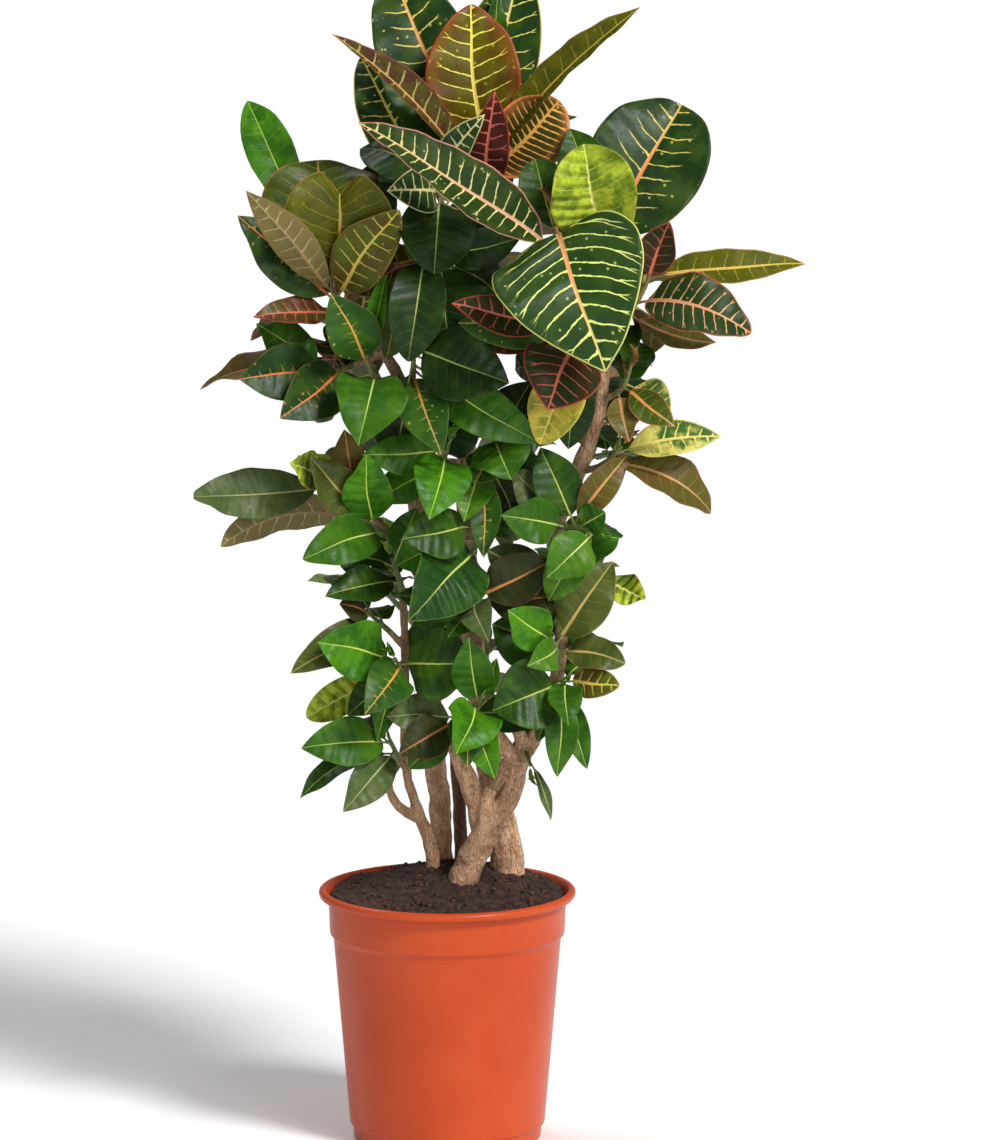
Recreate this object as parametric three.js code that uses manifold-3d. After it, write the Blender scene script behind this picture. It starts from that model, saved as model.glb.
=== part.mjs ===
// A potted croton: a round plastic nursery pot, its soil, five woody stems and the leafy shoots on them.
// Millimetres, +Z up, the front towards -Y. The origin is the centre of the pot's foot.
import * as THREE from "three";
import { mergeVertices } from "three/addons/utils/BufferGeometryUtils.js";
import Module from "manifold-3d";

const wasm = await Module();
wasm.setup();

// ---------------------------------------------------------------- driving dimensions
const POT_HEIGHT = 255;
const RIM_RADIUS = 129.5;
const RIM_DEPTH = 9;
const RIM_WIDTH = 7;
const WALL = 2.4;
const COLLAR_RADIUS = 119.5;
const COLLAR_HEIGHT = 38;
const COLLAR_TAPER = 1.5;
const COLLAR_STEP = 3.5;
const STEP_SLOPE = 2;
const BODY_BOTTOM_RADIUS = 98;
const FOOT_RADIUS = 94;
const FOOT_HEIGHT = 13;
const POT_SIDES = 28;
const DRAIN_COUNT = 6;
const DRAIN_RADIUS = 6;
const DRAIN_CIRCLE = 72;
const DRAIN_SIDES = 6;

const SOIL_EDGE = 247;
const SOIL_MOUND = 25;
const MOUND_CENTRE = new THREE.Vector2(5, 45);
const MOUND_SPREAD = new THREE.Vector2(60, 45);
const SOIL_LUMPS = 1.6;
const SOIL_RINGS = [0.29, 0.54, 0.77, 1];
const SOIL_SEED = 11;
const FIT = 0.3;

const BLADE = 1.0;
const CLEARANCE = 0.5;
const PETIOLE_HALF_WIDTH = 0.7;
// Leaves narrower than this are flat across; wider ones are folded along their midrib.
const LEAST_RIBBED = 36;
// How many rings a blade has: the shares of its length where they lie, for leaves of at least this width.
const leafSizes = [
  { least: 90, stations: [0.16, 0.38, 0.62, 0.84] },
  { least: 58, stations: [0.2, 0.46, 0.76] },
  { least: 36, stations: [0.33, 0.7] },
  { least: 0, stations: [0.36, 0.72] },
];
const fillSize = { stations: [0.33, 0.7] };
const PETIOLE_LEAST = 7;
const PETIOLE_SHARE = 0.06;
const BLADE_SHAPES = {
  oval: { base: 0.8, tip: 0.98 },
  full: { base: 0.7, tip: 0.78 },
  spoon: { base: 0.85, tip: 0.6 },
  heart: { base: 0.45, tip: 0.92 },
  broad: { base: 0.6, tip: 0.5 },
  paddle: { base: 1.8, tip: 0.85 },
};
// How far a blade of at most this width twists about its midrib, in radians. Wider ones twist less.
const TWIST = 0.5;
const TWIST_WIDTH = 60;
const WAVE = 0.035;

const NUDGE = 9;
const NUDGE_REACH = 8;
const TWIG_SIDES = 4;
const SHOOT_SIDES = 4;
const FULL_TURN = 2 * Math.PI;
// Leaves set by rule: the share of a turn from one to the next, where the first starts, and by how many
// degrees their turn and their rise may vary.
const GOLDEN_TURN = 0.618034;
const GOLDEN_START = 0.3;
const TURN_SPREAD = 16;
const RISE_SPREAD = 14;
const LEAF_SEED = 7;
const SEED_STEP = 101;
// The shares of a shoot's length between which its leaves have their roots.
const FIRST_ROOT = 0.05;
const LAST_ROOT = 0.95;

// Places on the plant are given as they are seen from the front by an eye raised VIEW_RISE above level:
// [across to the right of the pot's axis, up from the centre of its foot, depth away from the eye].
const VIEW_RISE = THREE.MathUtils.degToRad(10.5);

// ---------------------------------------------------------------- the plant's layout
// Woody stems: name, colour, sides, and rows of [across, up, depth, radius] from the root end upwards.
// Each of their stubs is a cut side branch given in the same rows.
const stems = [
  {
    name: "stem_right", sides: 7,
    path: [
      [6, 190, 12, 16], [15, 255, 6, 15], [33, 295, 2, 13.5], [50, 325, -6, 12], [65, 350, -14, 10.5],
      [73, 380, -24, 10], [88, 405, -28, 8], [101, 440, -28, 7.5], [111, 470, -28, 7.2],
      [115, 540, -28, 7], [109, 600, -26, 7.2], [115, 632, -26, 8.5], [128, 662, -28, 8.5],
      [143, 700, -30, 7.5], [153, 735, -30, 7], [155, 765, -30, 6.5], [153, 810, -28, 6],
      [151, 850, -24, 5.6], [153, 885, -22, 5],
    ],
    stubs: [
      [[72, 378, -25, 9], [59, 391, -32, 8], [46, 414, -38, 6]],
      [[76, 386, -26, 8], [74, 402, -32, 7], [67, 418, -36, 6.4]],
      [[20, 280, 0, 11], [36, 312, -14, 9], [40, 340, -20, 8], [46, 352, -20, 6]],
      [[120, 645, -27, 3], [142, 645, -36, 2], [161, 642, -40, 1.2]],
    ],
  },
  {
    name: "stem_back", sides: 7,
    path: [
      [61, 190, 52, 18], [61, 265, 46, 17.4], [56, 310, 42, 15.4], [47, 350, 38, 13.8], [33, 440, 34, 12],
      [23, 540, 32, 10.5], [18, 640, 32, 9.5], [23, 740, 32, 8.5], [33, 840, 30, 7.5], [36, 925, 30, 6],
    ],
    stubs: [],
  },
  {
    name: "stem_middle", sides: 6,
    path: [
      [-5, 200, 62, 11], [-6, 275, 60, 11], [-8, 340, 52, 11], [-12, 370, 48, 10.8], [-15, 420, 45, 10.2],
      [-19, 500, 42, 8.6], [-27, 580, 38, 8], [-33, 660, 30, 7.4], [-39, 730, 22, 7], [-55, 775, 14, 6],
      [-80, 800, 8, 5.2], [-102, 818, 0, 4.4],
    ],
    stubs: [],
  },
  {
    name: "stem_dark", sides: 6,
    path: [[14, 215, 84, 7.6], [14, 280, 82, 7.2], [12, 330, 80, 6.6], [8, 385, 80, 6]],
    stubs: [],
  },
  {
    name: "stem_left", sides: 6,
    path: [
      [-12, 215, 36, 7.5], [-14, 270, 34, 7.2], [-19, 300, 30, 7], [-27, 320, 24, 6.4], [-34, 342, 14, 5],
      [-40, 364, 6, 4.8], [-43, 420, -1, 4.6], [-42, 480, -4, 4.4], [-43, 520, -5, 4], [-44, 548, -4, 3.6],
    ],
    stubs: [[[-30, 320, 20, 5.4], [-48, 332, 12, 4.8], [-57, 346, 8, 4.4], [-59, 360, 6, 4]]],
  },
];

// Leafy shoots. wood: the stem that carries it; twig: the woody side branch up to the shoot's seat, or none
// where it continues the stem's end; path: the green shoot itself, from the seat to its bud.
// leaves: [place along the shoot, across, up, depth of the tip, width, face, arch, fold].
// face turns the upper side from straight up (0) to the front (1) or the back (-1).
// arch is the height of the midrib's bow and fold the angle of each half, in radians.
// fill: leaves set by rule, round the shoot from the first to the second angle (90 is straight back), with
// rises from low at its foot to high at its bud, in degrees.
const shoots = [
  {
    name: "shoot_top", wood: "stem_back",
    path: [[36, 925, 30], [37, 960, 28], [36, 1005, 24]],
    leaves: [
      [0.75, -60, 1178, 105, 98, 0.8, 0.08, 0.15, "full"],
      [0.85, 24, 1134, 30, 96, 0.9, 0.08, 0.15, "full"],
      [0.9, 73, 1172, 95, 80, 0.8, 0.08, 0.2, "full"],
      [1.0, 52, 1150, 62, 32, 0.8, 0.05, 0.3],
      [0.8, 191, 1127, -45, 48, 0.45, 0.028, 0.5],
      [0.6, 112, 1036, 0, 76, 0.9, 0.06, 0.2, "broad"],
      [0.4, 48, 1042, -45, 46, 0.9, 0.06, 0.2],
      [0.5, -112, 1101, -50, 46, 0.4, 0.05, 0.5],
      [0.5, -72, 1075, 36, 44, 0.6, 0.06, 0.2],
    ],
    fill: { count: 6, from: 15, to: 165, length: 150, width: 66, low: -30, high: 70, face: -0.4 },
  },
  {
    name: "shoot_top_low", wood: "stem_back",
    twig: [[34, 872, 29, 4.4], [14, 904, 8, 4], [1, 920, -2, 3.6]],
    path: [[1, 920, -2], [-7, 940, -11], [-13, 961, -17]],
    leaves: [
      [0.1, -88, 1088, 95, 66, 0.8, 0.03, 0.15, "full"],
      [0.8, 37, 1020, -62, 34, 0.7, 0.1, 0.25],
      [0.7, -58, 945, -70, 50, 0.8, 0.18, 0.25],
      [0.5, -12, 862, -66, 80, 0.9, 0.2, 0.2, "full"],
      [0.3, 42, 914, -20, 46, 0.9, 0.1, 0.2],
    ],
    fill: { count: 2, from: 60, to: 130, length: 125, width: 56, low: -30, high: 30, face: 0.5 },
  },
  {
    name: "shoot_centre_high", wood: "stem_back",
    twig: [[31, 835, 26, 4.4], [10, 862, 0, 4], [0, 872, -8, 3.6]],
    path: [[0, 872, -8], [-14, 883, -17], [-28, 895, -24]],
    leaves: [
      [0.3, 2, 793, -48, 100, 0.8, 0.2, 0.15, "full"],
      [0.8, -38, 776, -62, 60, 0.9, 0.22, 0.3, "full"],
      [0.9, -62, 776, -30, 44, 0.9, 0.16, 0.2],
      [0.6, 74, 899, -40, 44, 0.9, 0.1, 0.2],
      [0.2, 56, 838, -38, 54, 0.6, 0.2, 0.2],
      [0.6, 34, 766, 2, 58, 0.8, 0.2, 0.2],
    ],
    fill: { count: 1, from: 150, to: 200, length: 110, width: 52, low: -40, high: 20, face: 0.7 },
  },
  {
    name: "shoot_right_inner", wood: "stem_right",
    twig: [[151, 850, -24, 4], [128, 866, -38, 3.8], [110, 876, -48, 3.4]],
    path: [[110, 876, -48], [109, 897, -58], [106, 917, -64]],
    leaves: [
      [0.1, -87, 1012, -105, 66, 0.6, 0.09, 0.5],
      [0.6, 88, 977, -44, 50, 0.8, 0.06, 0.2, "spoon"],
      [0.8, 157, 765, -146, 156, 0.8, 0.3, 0.16, "heart"],
    ],
    fill: { count: 2, from: 60, to: 130, length: 110, width: 54, low: -30, high: 40, face: 0.6 },
  },
  {
    name: "shoot_right_top", wood: "stem_right",
    path: [[153, 885, -22], [156, 906, -24], [160, 930, -26]],
    leaves: [
      [0.2, 136, 990, -78, 96, 0.85, 0.1, 0.4, "broad"],
      [0.1, 234, 1034, 25, 118, 0.8, 0.06, 0.12, "broad"],
      [0.9, 122, 1009, 20, 58, 0.7, 0.06, 0.2],
    ],
    fill: { count: 5, from: 35, to: 150, length: 120, width: 62, low: -50, high: 50, face: -0.4 },
  },
  {
    name: "shoot_right_low", wood: "stem_right",
    twig: [[153, 795, -29, 4], [167, 814, -32, 3.8], [176, 822, -34, 3.4]],
    path: [[176, 822, -34], [191, 840, -39], [204, 866, -43]],
    leaves: [
      [1.0, 358, 875, -20, 40, 0.6, 0.07, 0.25, "heart"],
      [0.3, 304, 805, -85, 66, 0.6, 0.22, 0.2, "full"],
      [0.1, 268, 796, -45, 32, 0.5, -0.15, 0.2],
      [0.9, 221, 915, -50, 40, 0.7, 0.05, 0.2],
    ],
    fill: { count: 3, from: 50, to: 130, length: 115, width: 54, low: -50, high: 15, face: 0.4 },
  },
  {
    name: "shoot_left_top", wood: "stem_middle",
    path: [[-102, 818, 0], [-110, 840, -4], [-115, 866, -8]],
    leaves: [
      [0.9, -200, 1041, 75, 50, 0.7, 0.04, 0.2, "paddle"],
      [0.9, -129, 980, 40, 122, 0.9, 0.08, 0.15, "spoon"],
      [0.8, -104, 970, -40, 114, 0.9, 0.1, 0.25, "spoon"],
      [0.7, -198, 946, -104, 42, -0.9, -0.05, 0.2],
      [0.5, -206, 922, -30, 58, 0.7, 0.04, 0.2],
      [0.6, -41, 926, -62, 60, 0.8, 0.08, 0.25, "full"],
      [0.3, -42, 878, -70, 26, 0.3, 0.06, 0.3],
      [0.2, -191, 823, -60, 38, 0.5, 0.05, 0.3],
      [0.4, -55, 884, -28, 22, 0.6, 0.04, 0.3],
      [0.8, -60, 982, 62, 66, 0.7, 0.08, 0.2],
    ],
    fill: { count: 5, from: 40, to: 150, length: 130, width: 60, low: -50, high: 50, face: -0.3 },
  },
  {
    name: "shoot_left_mid_a", wood: "stem_middle",
    twig: [[-42, 738, 20, 4], [-58, 748, 0, 3.8], [-66, 754, -10, 3.4]],
    path: [[-66, 754, -10], [-75, 766, -22], [-82, 785, -30]],
    leaves: [
      [0.9, -114, 843, -62, 56, 0.8, 0.08, 0.25],
      [0.5, -87, 693, -105, 76, 0.9, 0.24, 0.2],
      [1.0, -59, 850, -52, 28, 0.5, 0.1, 0.7],
    ],
    fill: { count: 2, from: 95, to: 130, length: 110, width: 50, low: -40, high: 0, face: 0.7 },
  },
  {
    name: "shoot_left_mid_b", wood: "stem_middle",
    twig: [[-64, 786, 12, 4], [-84, 778, 10, 3.8], [-94, 774, 8, 3.4]],
    path: [[-94, 774, 8], [-108, 769, 0], [-123, 771, -8]],
    leaves: [
      [0.6, -165, 720, -75, 60, 0.85, 0.12, 0.2],
      [0.8, -204, 760, -48, 60, 0.8, 0, 0.2],
      [0.9, -251, 755, 12, 46, 0.35, 0.09, 0.3],
      [1.0, -190, 816, -16, 46, 0.6, 0.02, 0.2],
    ],
    fill: { count: 4, from: 70, to: 130, length: 115, width: 54, low: -15, high: 40, face: -0.3 },
  },
  {
    name: "shoot_centre_top", wood: "stem_middle",
    twig: [[-38, 728, 22, 4], [-35, 748, -8, 3.8], [-34, 758, -20, 3.4]],
    path: [[-34, 758, -20], [-33, 774, -36], [-33, 795, -47]],
    leaves: [
      [0.8, 63, 755, -92, 76, 0.8, 0.14, 0.15],
      [0.1, -5, 683, -96, 52, 0.9, 0.2, 0.2],
      [0.3, 93, 695, -58, 54, 0.8, 0.1, 0.2],
      [0.0, -88, 686, -62, 36, 0.6, 0.14, 0.2],
      [0.5, -58, 668, -6, 50, 0.8, 0.12, 0.2],
    ],
    fill: { count: 2, from: -10, to: 60, length: 100, width: 50, low: -50, high: 0, face: 0.8 },
  },
  {
    name: "shoot_centre_right", wood: "stem_right",
    twig: [[154, 752, -30, 4], [142, 768, -44, 3.8], [135, 776, -50, 3.4]],
    path: [[135, 776, -50], [124, 793, -59], [111, 812, -65]],
    leaves: [
      [0.9, 5, 834, -98, 42, 0.7, 0.1, 0.25],
      [0.6, 14, 795, -66, 34, 0.6, 0.08, 0.2],
      [0.4, 100, 728, -112, 84, 0.95, 0.2, 0.2],
      [0.0, 92, 694, -78, 56, 0.8, 0.12, 0.25, "full"],
      [0.2, 121, 690, -50, 46, 0.8, 0.1, 0.2],
    ],
    fill: { count: 2, from: 120, to: 190, length: 100, width: 48, low: -40, high: 30, face: 0.8 },
  },
  {
    name: "shoot_centre_mid_a", wood: "stem_back",
    twig: [[20, 650, 30, 4], [28, 664, 6, 3.8], [32, 671, -6, 3.4]],
    path: [[32, 671, -6], [41, 685, -20], [50, 704, -31]],
    leaves: [
      [0.9, 64, 660, -88, 66, 0.9, 0.16, 0.15],
      [0.5, 6, 655, -84, 40, 0.8, 0.12, 0.25],
      [0.1, 17, 618, -72, 42, 0.9, 0.14, 0.2],
      [0.0, 37, 582, -48, 34, 0.8, 0.12, 0.2],
      [0.7, 84, 758, -30, 56, 0.8, 0.08, 0.2],
      [0.3, 70, 610, -4, 50, 0.8, 0.12, 0.2],
    ],
    fill: { count: 2, from: 0, to: 60, length: 95, width: 46, low: -45, high: 20, face: 0.8 },
  },
  {
    name: "shoot_centre_mid_b", wood: "stem_middle",
    twig: [[-33, 650, 31, 4], [-18, 664, 4, 3.8], [-10, 670, -8, 3.4]],
    path: [[-10, 670, -8], [-2, 683, -26], [3, 698, -42]],
    leaves: [
      [0.7, -17, 620, -110, 60, 0.95, 0.2, 0.15],
      [1.0, 13, 712, -74, 16, 0.6, 0.05, 0.7],
      [0.6, 26, 742, -62, 50, 0.8, 0.06, 0.2],
    ],
    fill: { count: 2, from: 140, to: 200, length: 90, width: 44, low: -50, high: 10, face: 0.8 },
  },
  {
    name: "shoot_centre_low", wood: "stem_back",
    twig: [[21, 562, 30, 4], [25, 580, 2, 3.8], [27, 587, -12, 3.4]],
    path: [[27, 587, -12], [28, 601, -30], [24, 618, -45]],
    leaves: [
      [0.9, -45, 600, -100, 56, 0.75, 0.12, 0.15],
      [0.4, -50, 574, -66, 58, 0.6, 0.14, 0.3],
      [0.1, -38, 519, -112, 78, 0.95, 0.2, 0.15],
    ],
    fill: { count: 2, from: -10, to: 60, length: 90, width: 46, low: -40, high: 20, face: 0.8 },
  },
  {
    name: "shoot_heart", wood: "stem_back",
    twig: [[23, 515, 30, 4], [26, 526, 2, 3.8], [27, 530, -12, 3.4]],
    path: [[27, 530, -12], [29, 536, -32], [30, 544, -51]],
    leaves: [
      [0.9, 106, 580, -66, 54, 0.8, 0.08, 0.2],
      [0.8, 115, 544, -88, 46, 0.8, 0.1, 0.2],
      [0.7, 41, 500, -100, 36, 0.9, 0.2, 0.2],
      [0.4, 1, 503, -76, 34, 0.8, 0.18, 0.2],
    ],
    fill: { count: 2, from: 150, to: 210, length: 85, width: 42, low: -40, high: 20, face: 0.8 },
  },
  {
    name: "shoot_right_mid_a", wood: "stem_right",
    twig: [[154, 738, -30, 4], [164, 743, -41, 3.6], [168, 745, -46, 3.2]],
    path: [[168, 745, -46], [176, 753, -55], [182, 768, -62]],
    leaves: [
      [0.7, 223, 728, -62, 36, 0.6, 0.1, 0.2],
      [0.4, 226, 712, -92, 34, 0.7, 0.12, 0.2],
      [0.2, 181, 697, -92, 34, 0.7, 0.1, 0.4],
      [0.9, 193, 797, -30, 42, 0.7, 0.06, 0.2],
    ],
    fill: { count: 2, from: 55, to: 110, length: 105, width: 48, low: -15, high: 50, face: 0.3 },
  },
  {
    name: "shoot_right_mid_b", wood: "stem_right",
    twig: [[132, 668, -29, 4], [147, 671, -38, 3.6], [152, 673, -42, 3.2]],
    path: [[152, 673, -42], [163, 681, -50], [174, 693, -56]],
    leaves: [
      [0.8, 273, 703, -62, 40, 0.6, 0.1, 0.25],
      [0.5, 266, 627, -40, 50, 0.5, 0.18, 0.25, "full"],
      [0.7, 173, 702, -14, 40, 0.6, 0.06, 0.2],
    ],
    fill: { count: 3, from: 40, to: 110, length: 110, width: 50, low: -15, high: 40, face: 0.3 },
  },
  {
    name: "shoot_right_knee", wood: "stem_right",
    twig: [[110, 606, -27, 4], [113, 611, -37, 3.6], [114, 613, -41, 3.2]],
    path: [[114, 613, -41], [130, 613, -54], [151, 607, -66]],
    leaves: [
      [0.1, 65, 670, -72, 46, 0.75, 0.08, 0.2],
      [0.0, 55, 624, -82, 48, 0.8, 0.1, 0.2],
      [0.3, 157, 627, -78, 36, 0.8, 0.06, 0.2, "full"],
      [0.2, 93, 692, -48, 50, 0.8, 0.08, 0.2],
      [0.1, 190, 686, -50, 34, 0.8, 0.2, 0.2],
      [1.0, 99, 562, -92, 50, 0.95, 0.2, 0.15],
      [0.7, 100, 538, -72, 42, 0.9, 0.14, 0.2],
    ],
    fill: { count: 1, from: 55, to: 110, length: 80, width: 44, low: -50, high: 20, face: 0.5 },
  },
  {
    name: "shoot_left_low_a", wood: "stem_middle",
    twig: [[-26, 560, 38, 4.2], [-62, 612, 22, 4], [-94, 638, 4, 3.8], [-104, 645, -3, 3.4]],
    path: [[-104, 645, -3], [-118, 656, -11], [-132, 668, -15]],
    leaves: [
      [0.8, -252, 645, -40, 54, 0.7, -0.12, 0.2, "full"],
      [0.9, -154, 676, -56, 42, 0.7, 0.02, 0.3],
      [1.0, -134, 686, -34, 34, 0.6, 0.05, 0.3],
    ],
    fill: { count: 1, from: 70, to: 125, length: 105, width: 50, low: -15, high: 45, face: -0.2 },
  },
  {
    name: "shoot_left_low_b", wood: "stem_middle",
    twig: [[-27, 578, 36, 4], [-50, 598, 6, 3.8], [-62, 606, -6, 3.4]],
    path: [[-62, 606, -6], [-76, 615, -18], [-90, 629, -28]],
    leaves: [
      [0.7, -228, 595, -40, 54, -0.6, 0.19, 0.15, "full"],
      [0.8, -135, 682, -74, 46, 0.7, 0.08, 0.2],
      [0.9, -102, 710, -34, 42, 0.8, 0.06, 0.2],
      [0.6, -80, 684, -66, 52, 0.9, 0.06, 0.2],
      [0.3, -142, 581, -92, 50, 0.8, 0.14, 0.2, "full"],
    ],
    fill: { count: 1, from: 90, to: 150, length: 100, width: 46, low: -50, high: 20, face: 0.5 },
  },
  {
    name: "shoot_left_upright", wood: "stem_left",
    path: [[-44, 548, -4], [-49, 565, -10], [-55, 582, -15]],
    leaves: [
      [0.5, -121, 544, -60, 42, 0.6, 0.12, 0.2],
      [0.9, -107, 588, 22, 52, 0.5, 0.08, 0.2],
      [1.0, -30, 632, -28, 34, 0.8, 0.05, 0.3],
    ],
    fill: { count: 3, from: 70, to: 145, length: 95, width: 46, low: -15, high: 40, face: 0.3 },
  },
  {
    name: "shoot_left_side", wood: "stem_left",
    twig: [[-42, 492, -4, 3.6], [-55, 506, -12, 3.4], [-60, 511, -16, 3]],
    path: [[-60, 511, -16], [-69, 519, -22], [-80, 528, -28]],
    leaves: [
      [0.9, -107, 536, -54, 36, 0.6, 0.08, 0.2],
      [0.5, -156, 467, -86, 42, 0.7, 0.16, 0.2],
    ],
    fill: { count: 2, from: 75, to: 145, length: 95, width: 44, low: -15, high: 30, face: 0.2 },
  },
  {
    name: "shoot_left_front", wood: "stem_left",
    twig: [[-42, 458, -3, 3.6], [-43, 464, -12, 3.4], [-44, 467, -17, 3]],
    path: [[-44, 467, -17], [-47, 473, -31], [-52, 482, -45]],
    leaves: [
      [0.9, -127, 498, -92, 64, 0.85, 0.04, 0.25],
      [0.5, -81, 427, -112, 50, 0.9, 0.2, 0.2],
      [0.3, -141, 423, -50, 38, 0.7, -0.04, 0.25, "spoon"],
      [0.1, -100, 424, -40, 38, 0.7, 0.14, 0.2],
      [0.2, -70, 398, -62, 28, 0.8, 0.16, 0.3],
      [0.7, 30, 477, -72, 76, 0.75, 0.08, 0.15],
    ],
    fill: { count: 2, from: 95, to: 150, length: 85, width: 42, low: -40, high: 20, face: 0.5 },
  },
  {
    name: "shoot_left_foot", wood: "stem_left",
    twig: [[-40, 368, 5, 3.6], [-46, 376, -6, 3.4], [-48, 380, -12, 3]],
    path: [[-48, 380, -12], [-53, 391, -26], [-59, 405, -38]],
    leaves: [
      [0.8, -145, 393, -82, 52, 0.7, 0.12, 0.2],
      [0.3, -147, 342, -70, 32, 0.35, 0.16, 0.25],
      [0.5, -103, 329, -100, 42, 0.9, 0.12, 0.2],
    ],
    fill: { count: 3, from: 75, to: 145, length: 85, width: 40, low: -35, high: 40, face: 0.2 },
  },
  {
    name: "shoot_front_low", wood: "stem_right",
    twig: [
      [37, 298, 2, 11], [30, 332, -10, 10.5], [19, 364, -18, 9.4],
      [8, 392, -24, 7.6], [3, 412, -32, 5.2],
    ],
    path: [[3, 412, -32], [14, 424, -43], [27, 433, -53], [36, 440, -61]],
    leaves: [
      [0.1, -48, 386, -78, 46, 0.8, 0.14, 0.15],
      [0.0, -39, 371, -52, 38, 0.8, 0.12, 0.2],
      [0.3, -60, 424, -62, 44, 0.8, 0.03, 0.2],
      [0.9, 10, 388, -126, 58, 0.95, 0.18, 0.3],
      [0.7, 21, 375, -112, 42, 0.95, 0.16, 0.2],
      [0.8, 48, 362, -104, 36, 0.9, 0.16, 0.2],
      [0.9, 22, 503, -96, 44, 0.9, 0.08, 0.2],
      [1.0, 50, 482, -88, 20, 0.8, 0.05, 0.5],
    ],
    fill: { count: 1, from: 0, to: 40, length: 85, width: 40, low: -20, high: 10, face: 0.6 },
  },
  {
    name: "shoot_right_foot_a", wood: "stem_right",
    twig: [[111, 476, -28, 4], [111, 483, -38, 3.6], [111, 485, -43, 3.2]],
    path: [[111, 485, -43], [109, 491, -55], [105, 502, -68]],
    leaves: [
      [0.1, 45, 516, -52, 64, 0.8, 0.1, 0.15],
      [0.9, 61, 530, -100, 48, 0.9, 0.1, 0.2],
      [0.6, 81, 475, -114, 34, 0.9, 0.16, 0.2],
      [0.8, 166, 579, -66, 56, 0.8, 0.08, 0.15],
      [0.4, 178, 478, -84, 38, 0.6, 0.1, 0.2, "full"],
    ],
    fill: { count: 3, from: 50, to: 115, length: 90, width: 44, low: -15, high: 30, face: 0.3 },
  },
  {
    name: "shoot_right_foot_b", wood: "stem_right",
    twig: [[104, 448, -28, 4], [109, 454, -38, 3.6], [110, 455, -42, 3.2]],
    path: [[110, 455, -42], [115, 458, -54], [118, 460, -68]],
    leaves: [
      [0.6, 45, 430, -98, 74, 0.85, 0.16, 0.15],
      [0.8, 172, 455, -98, 34, 0.7, 0.08, 0.25, "full"],
      [0.9, 121, 416, -114, 36, 0.9, 0.18, 0.2],
      [0.5, 110, 363, -92, 36, 0.8, 0.14, 0.3],
      [0.4, 140, 371, -84, 30, 0.85, 0.1, 0.25],
      [0.1, 90, 398, -54, 24, 0.7, 0.12, 0.3],
    ],
    fill: { count: 2, from: 55, to: 115, length: 80, width: 38, low: -10, high: 30, face: 0.4 },
  },
  {
    name: "shoot_hanging", wood: "stem_right",
    twig: [[77, 388, -26, 3.4], [79, 386, -36, 2.8], [80, 385, -39, 2.4]],
    path: [[80, 385, -39], [82, 380, -47], [83, 374, -51]],
    leaves: [[0.9, 105, 319, -66, 13, 0.3, 0.12, 0.3]],
    fill: { count: 0, from: 0, to: 0, length: 0, width: 0, low: 0, high: 0, face: 0 },
  },
  {
    name: "shoot_right_side", wood: "stem_right",
    twig: [[114, 545, -28, 4], [123, 551, -19, 3.6], [127, 553, -15, 3.2]],
    path: [[127, 553, -15], [141, 559, -4], [156, 568, 5]],
    leaves: [[0.9, 198, 541, -30, 36, 0.6, -0.06, 0.25]],
    fill: { count: 3, from: 60, to: 130, length: 85, width: 48, low: -15, high: 50, face: 0 },
  },
  {
    name: "shoot_back_low", wood: "stem_back",
    twig: [[33, 435, 36, 4.4], [37, 458, 76, 4], [38, 464, 87, 3.4]],
    path: [[38, 464, 87], [39, 478, 112], [41, 497, 137]],
    leaves: [],
    fill: { count: 5, from: -20, to: 200, length: 95, width: 46, low: -50, high: 60, face: -0.4 },
  },
  {
    name: "shoot_back_mid", wood: "stem_back",
    twig: [[20, 610, 34, 4.4], [12, 640, 80, 4], [9, 648, 94, 3.4]],
    path: [[9, 648, 94], [4, 662, 118], [-3, 680, 142]],
    leaves: [],
    fill: { count: 6, from: -15, to: 195, length: 125, width: 56, low: -55, high: 60, face: -0.4 },
  },
  {
    name: "shoot_back_high", wood: "stem_back",
    twig: [[34, 850, 31, 4.4], [42, 876, 70, 4], [45, 884, 82, 3.4]],
    path: [[45, 884, 82], [51, 898, 107], [58, 916, 129]],
    leaves: [],
    fill: { count: 5, from: -15, to: 195, length: 145, width: 64, low: -55, high: 65, face: -0.4 },
  },
  {
    name: "shoot_back_left", wood: "stem_middle",
    twig: [[-35, 690, 28, 4.2], [-58, 722, 71, 4], [-65, 731, 84, 3.4]],
    path: [[-65, 731, 84], [-76, 745, 107], [-86, 761, 127]],
    leaves: [],
    fill: { count: 6, from: 60, to: 150, length: 120, width: 56, low: -15, high: 60, face: -0.4 },
  },
  {
    name: "shoot_back_right", wood: "stem_right",
    twig: [[120, 640, -26, 4.4], [132, 664, 39, 4], [137, 672, 59, 3.4]],
    path: [[137, 672, 59], [145, 685, 84], [152, 701, 109]],
    leaves: [],
    fill: { count: 4, from: 25, to: 135, length: 120, width: 56, low: -15, high: 60, face: -0.4 },
  },
  {
    name: "shoot_back_left_low", wood: "stem_middle",
    twig: [[-19, 500, 42, 4.2], [-38, 522, 79, 4], [-44, 529, 90, 3.4]],
    path: [[-44, 529, 90], [-56, 541, 113], [-67, 556, 135]],
    leaves: [],
    fill: { count: 4, from: 60, to: 150, length: 100, width: 48, low: -15, high: 55, face: -0.4 },
  },
  {
    name: "shoot_back_right_low", wood: "stem_right",
    twig: [[112, 505, -28, 4], [122, 520, 28, 3.8], [126, 526, 43, 3.4]],
    path: [[126, 526, 43], [135, 538, 68], [145, 554, 91]],
    leaves: [],
    fill: { count: 4, from: 75, to: 140, length: 98, width: 46, low: -15, high: 55, face: -0.4 },
  },
];

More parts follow.
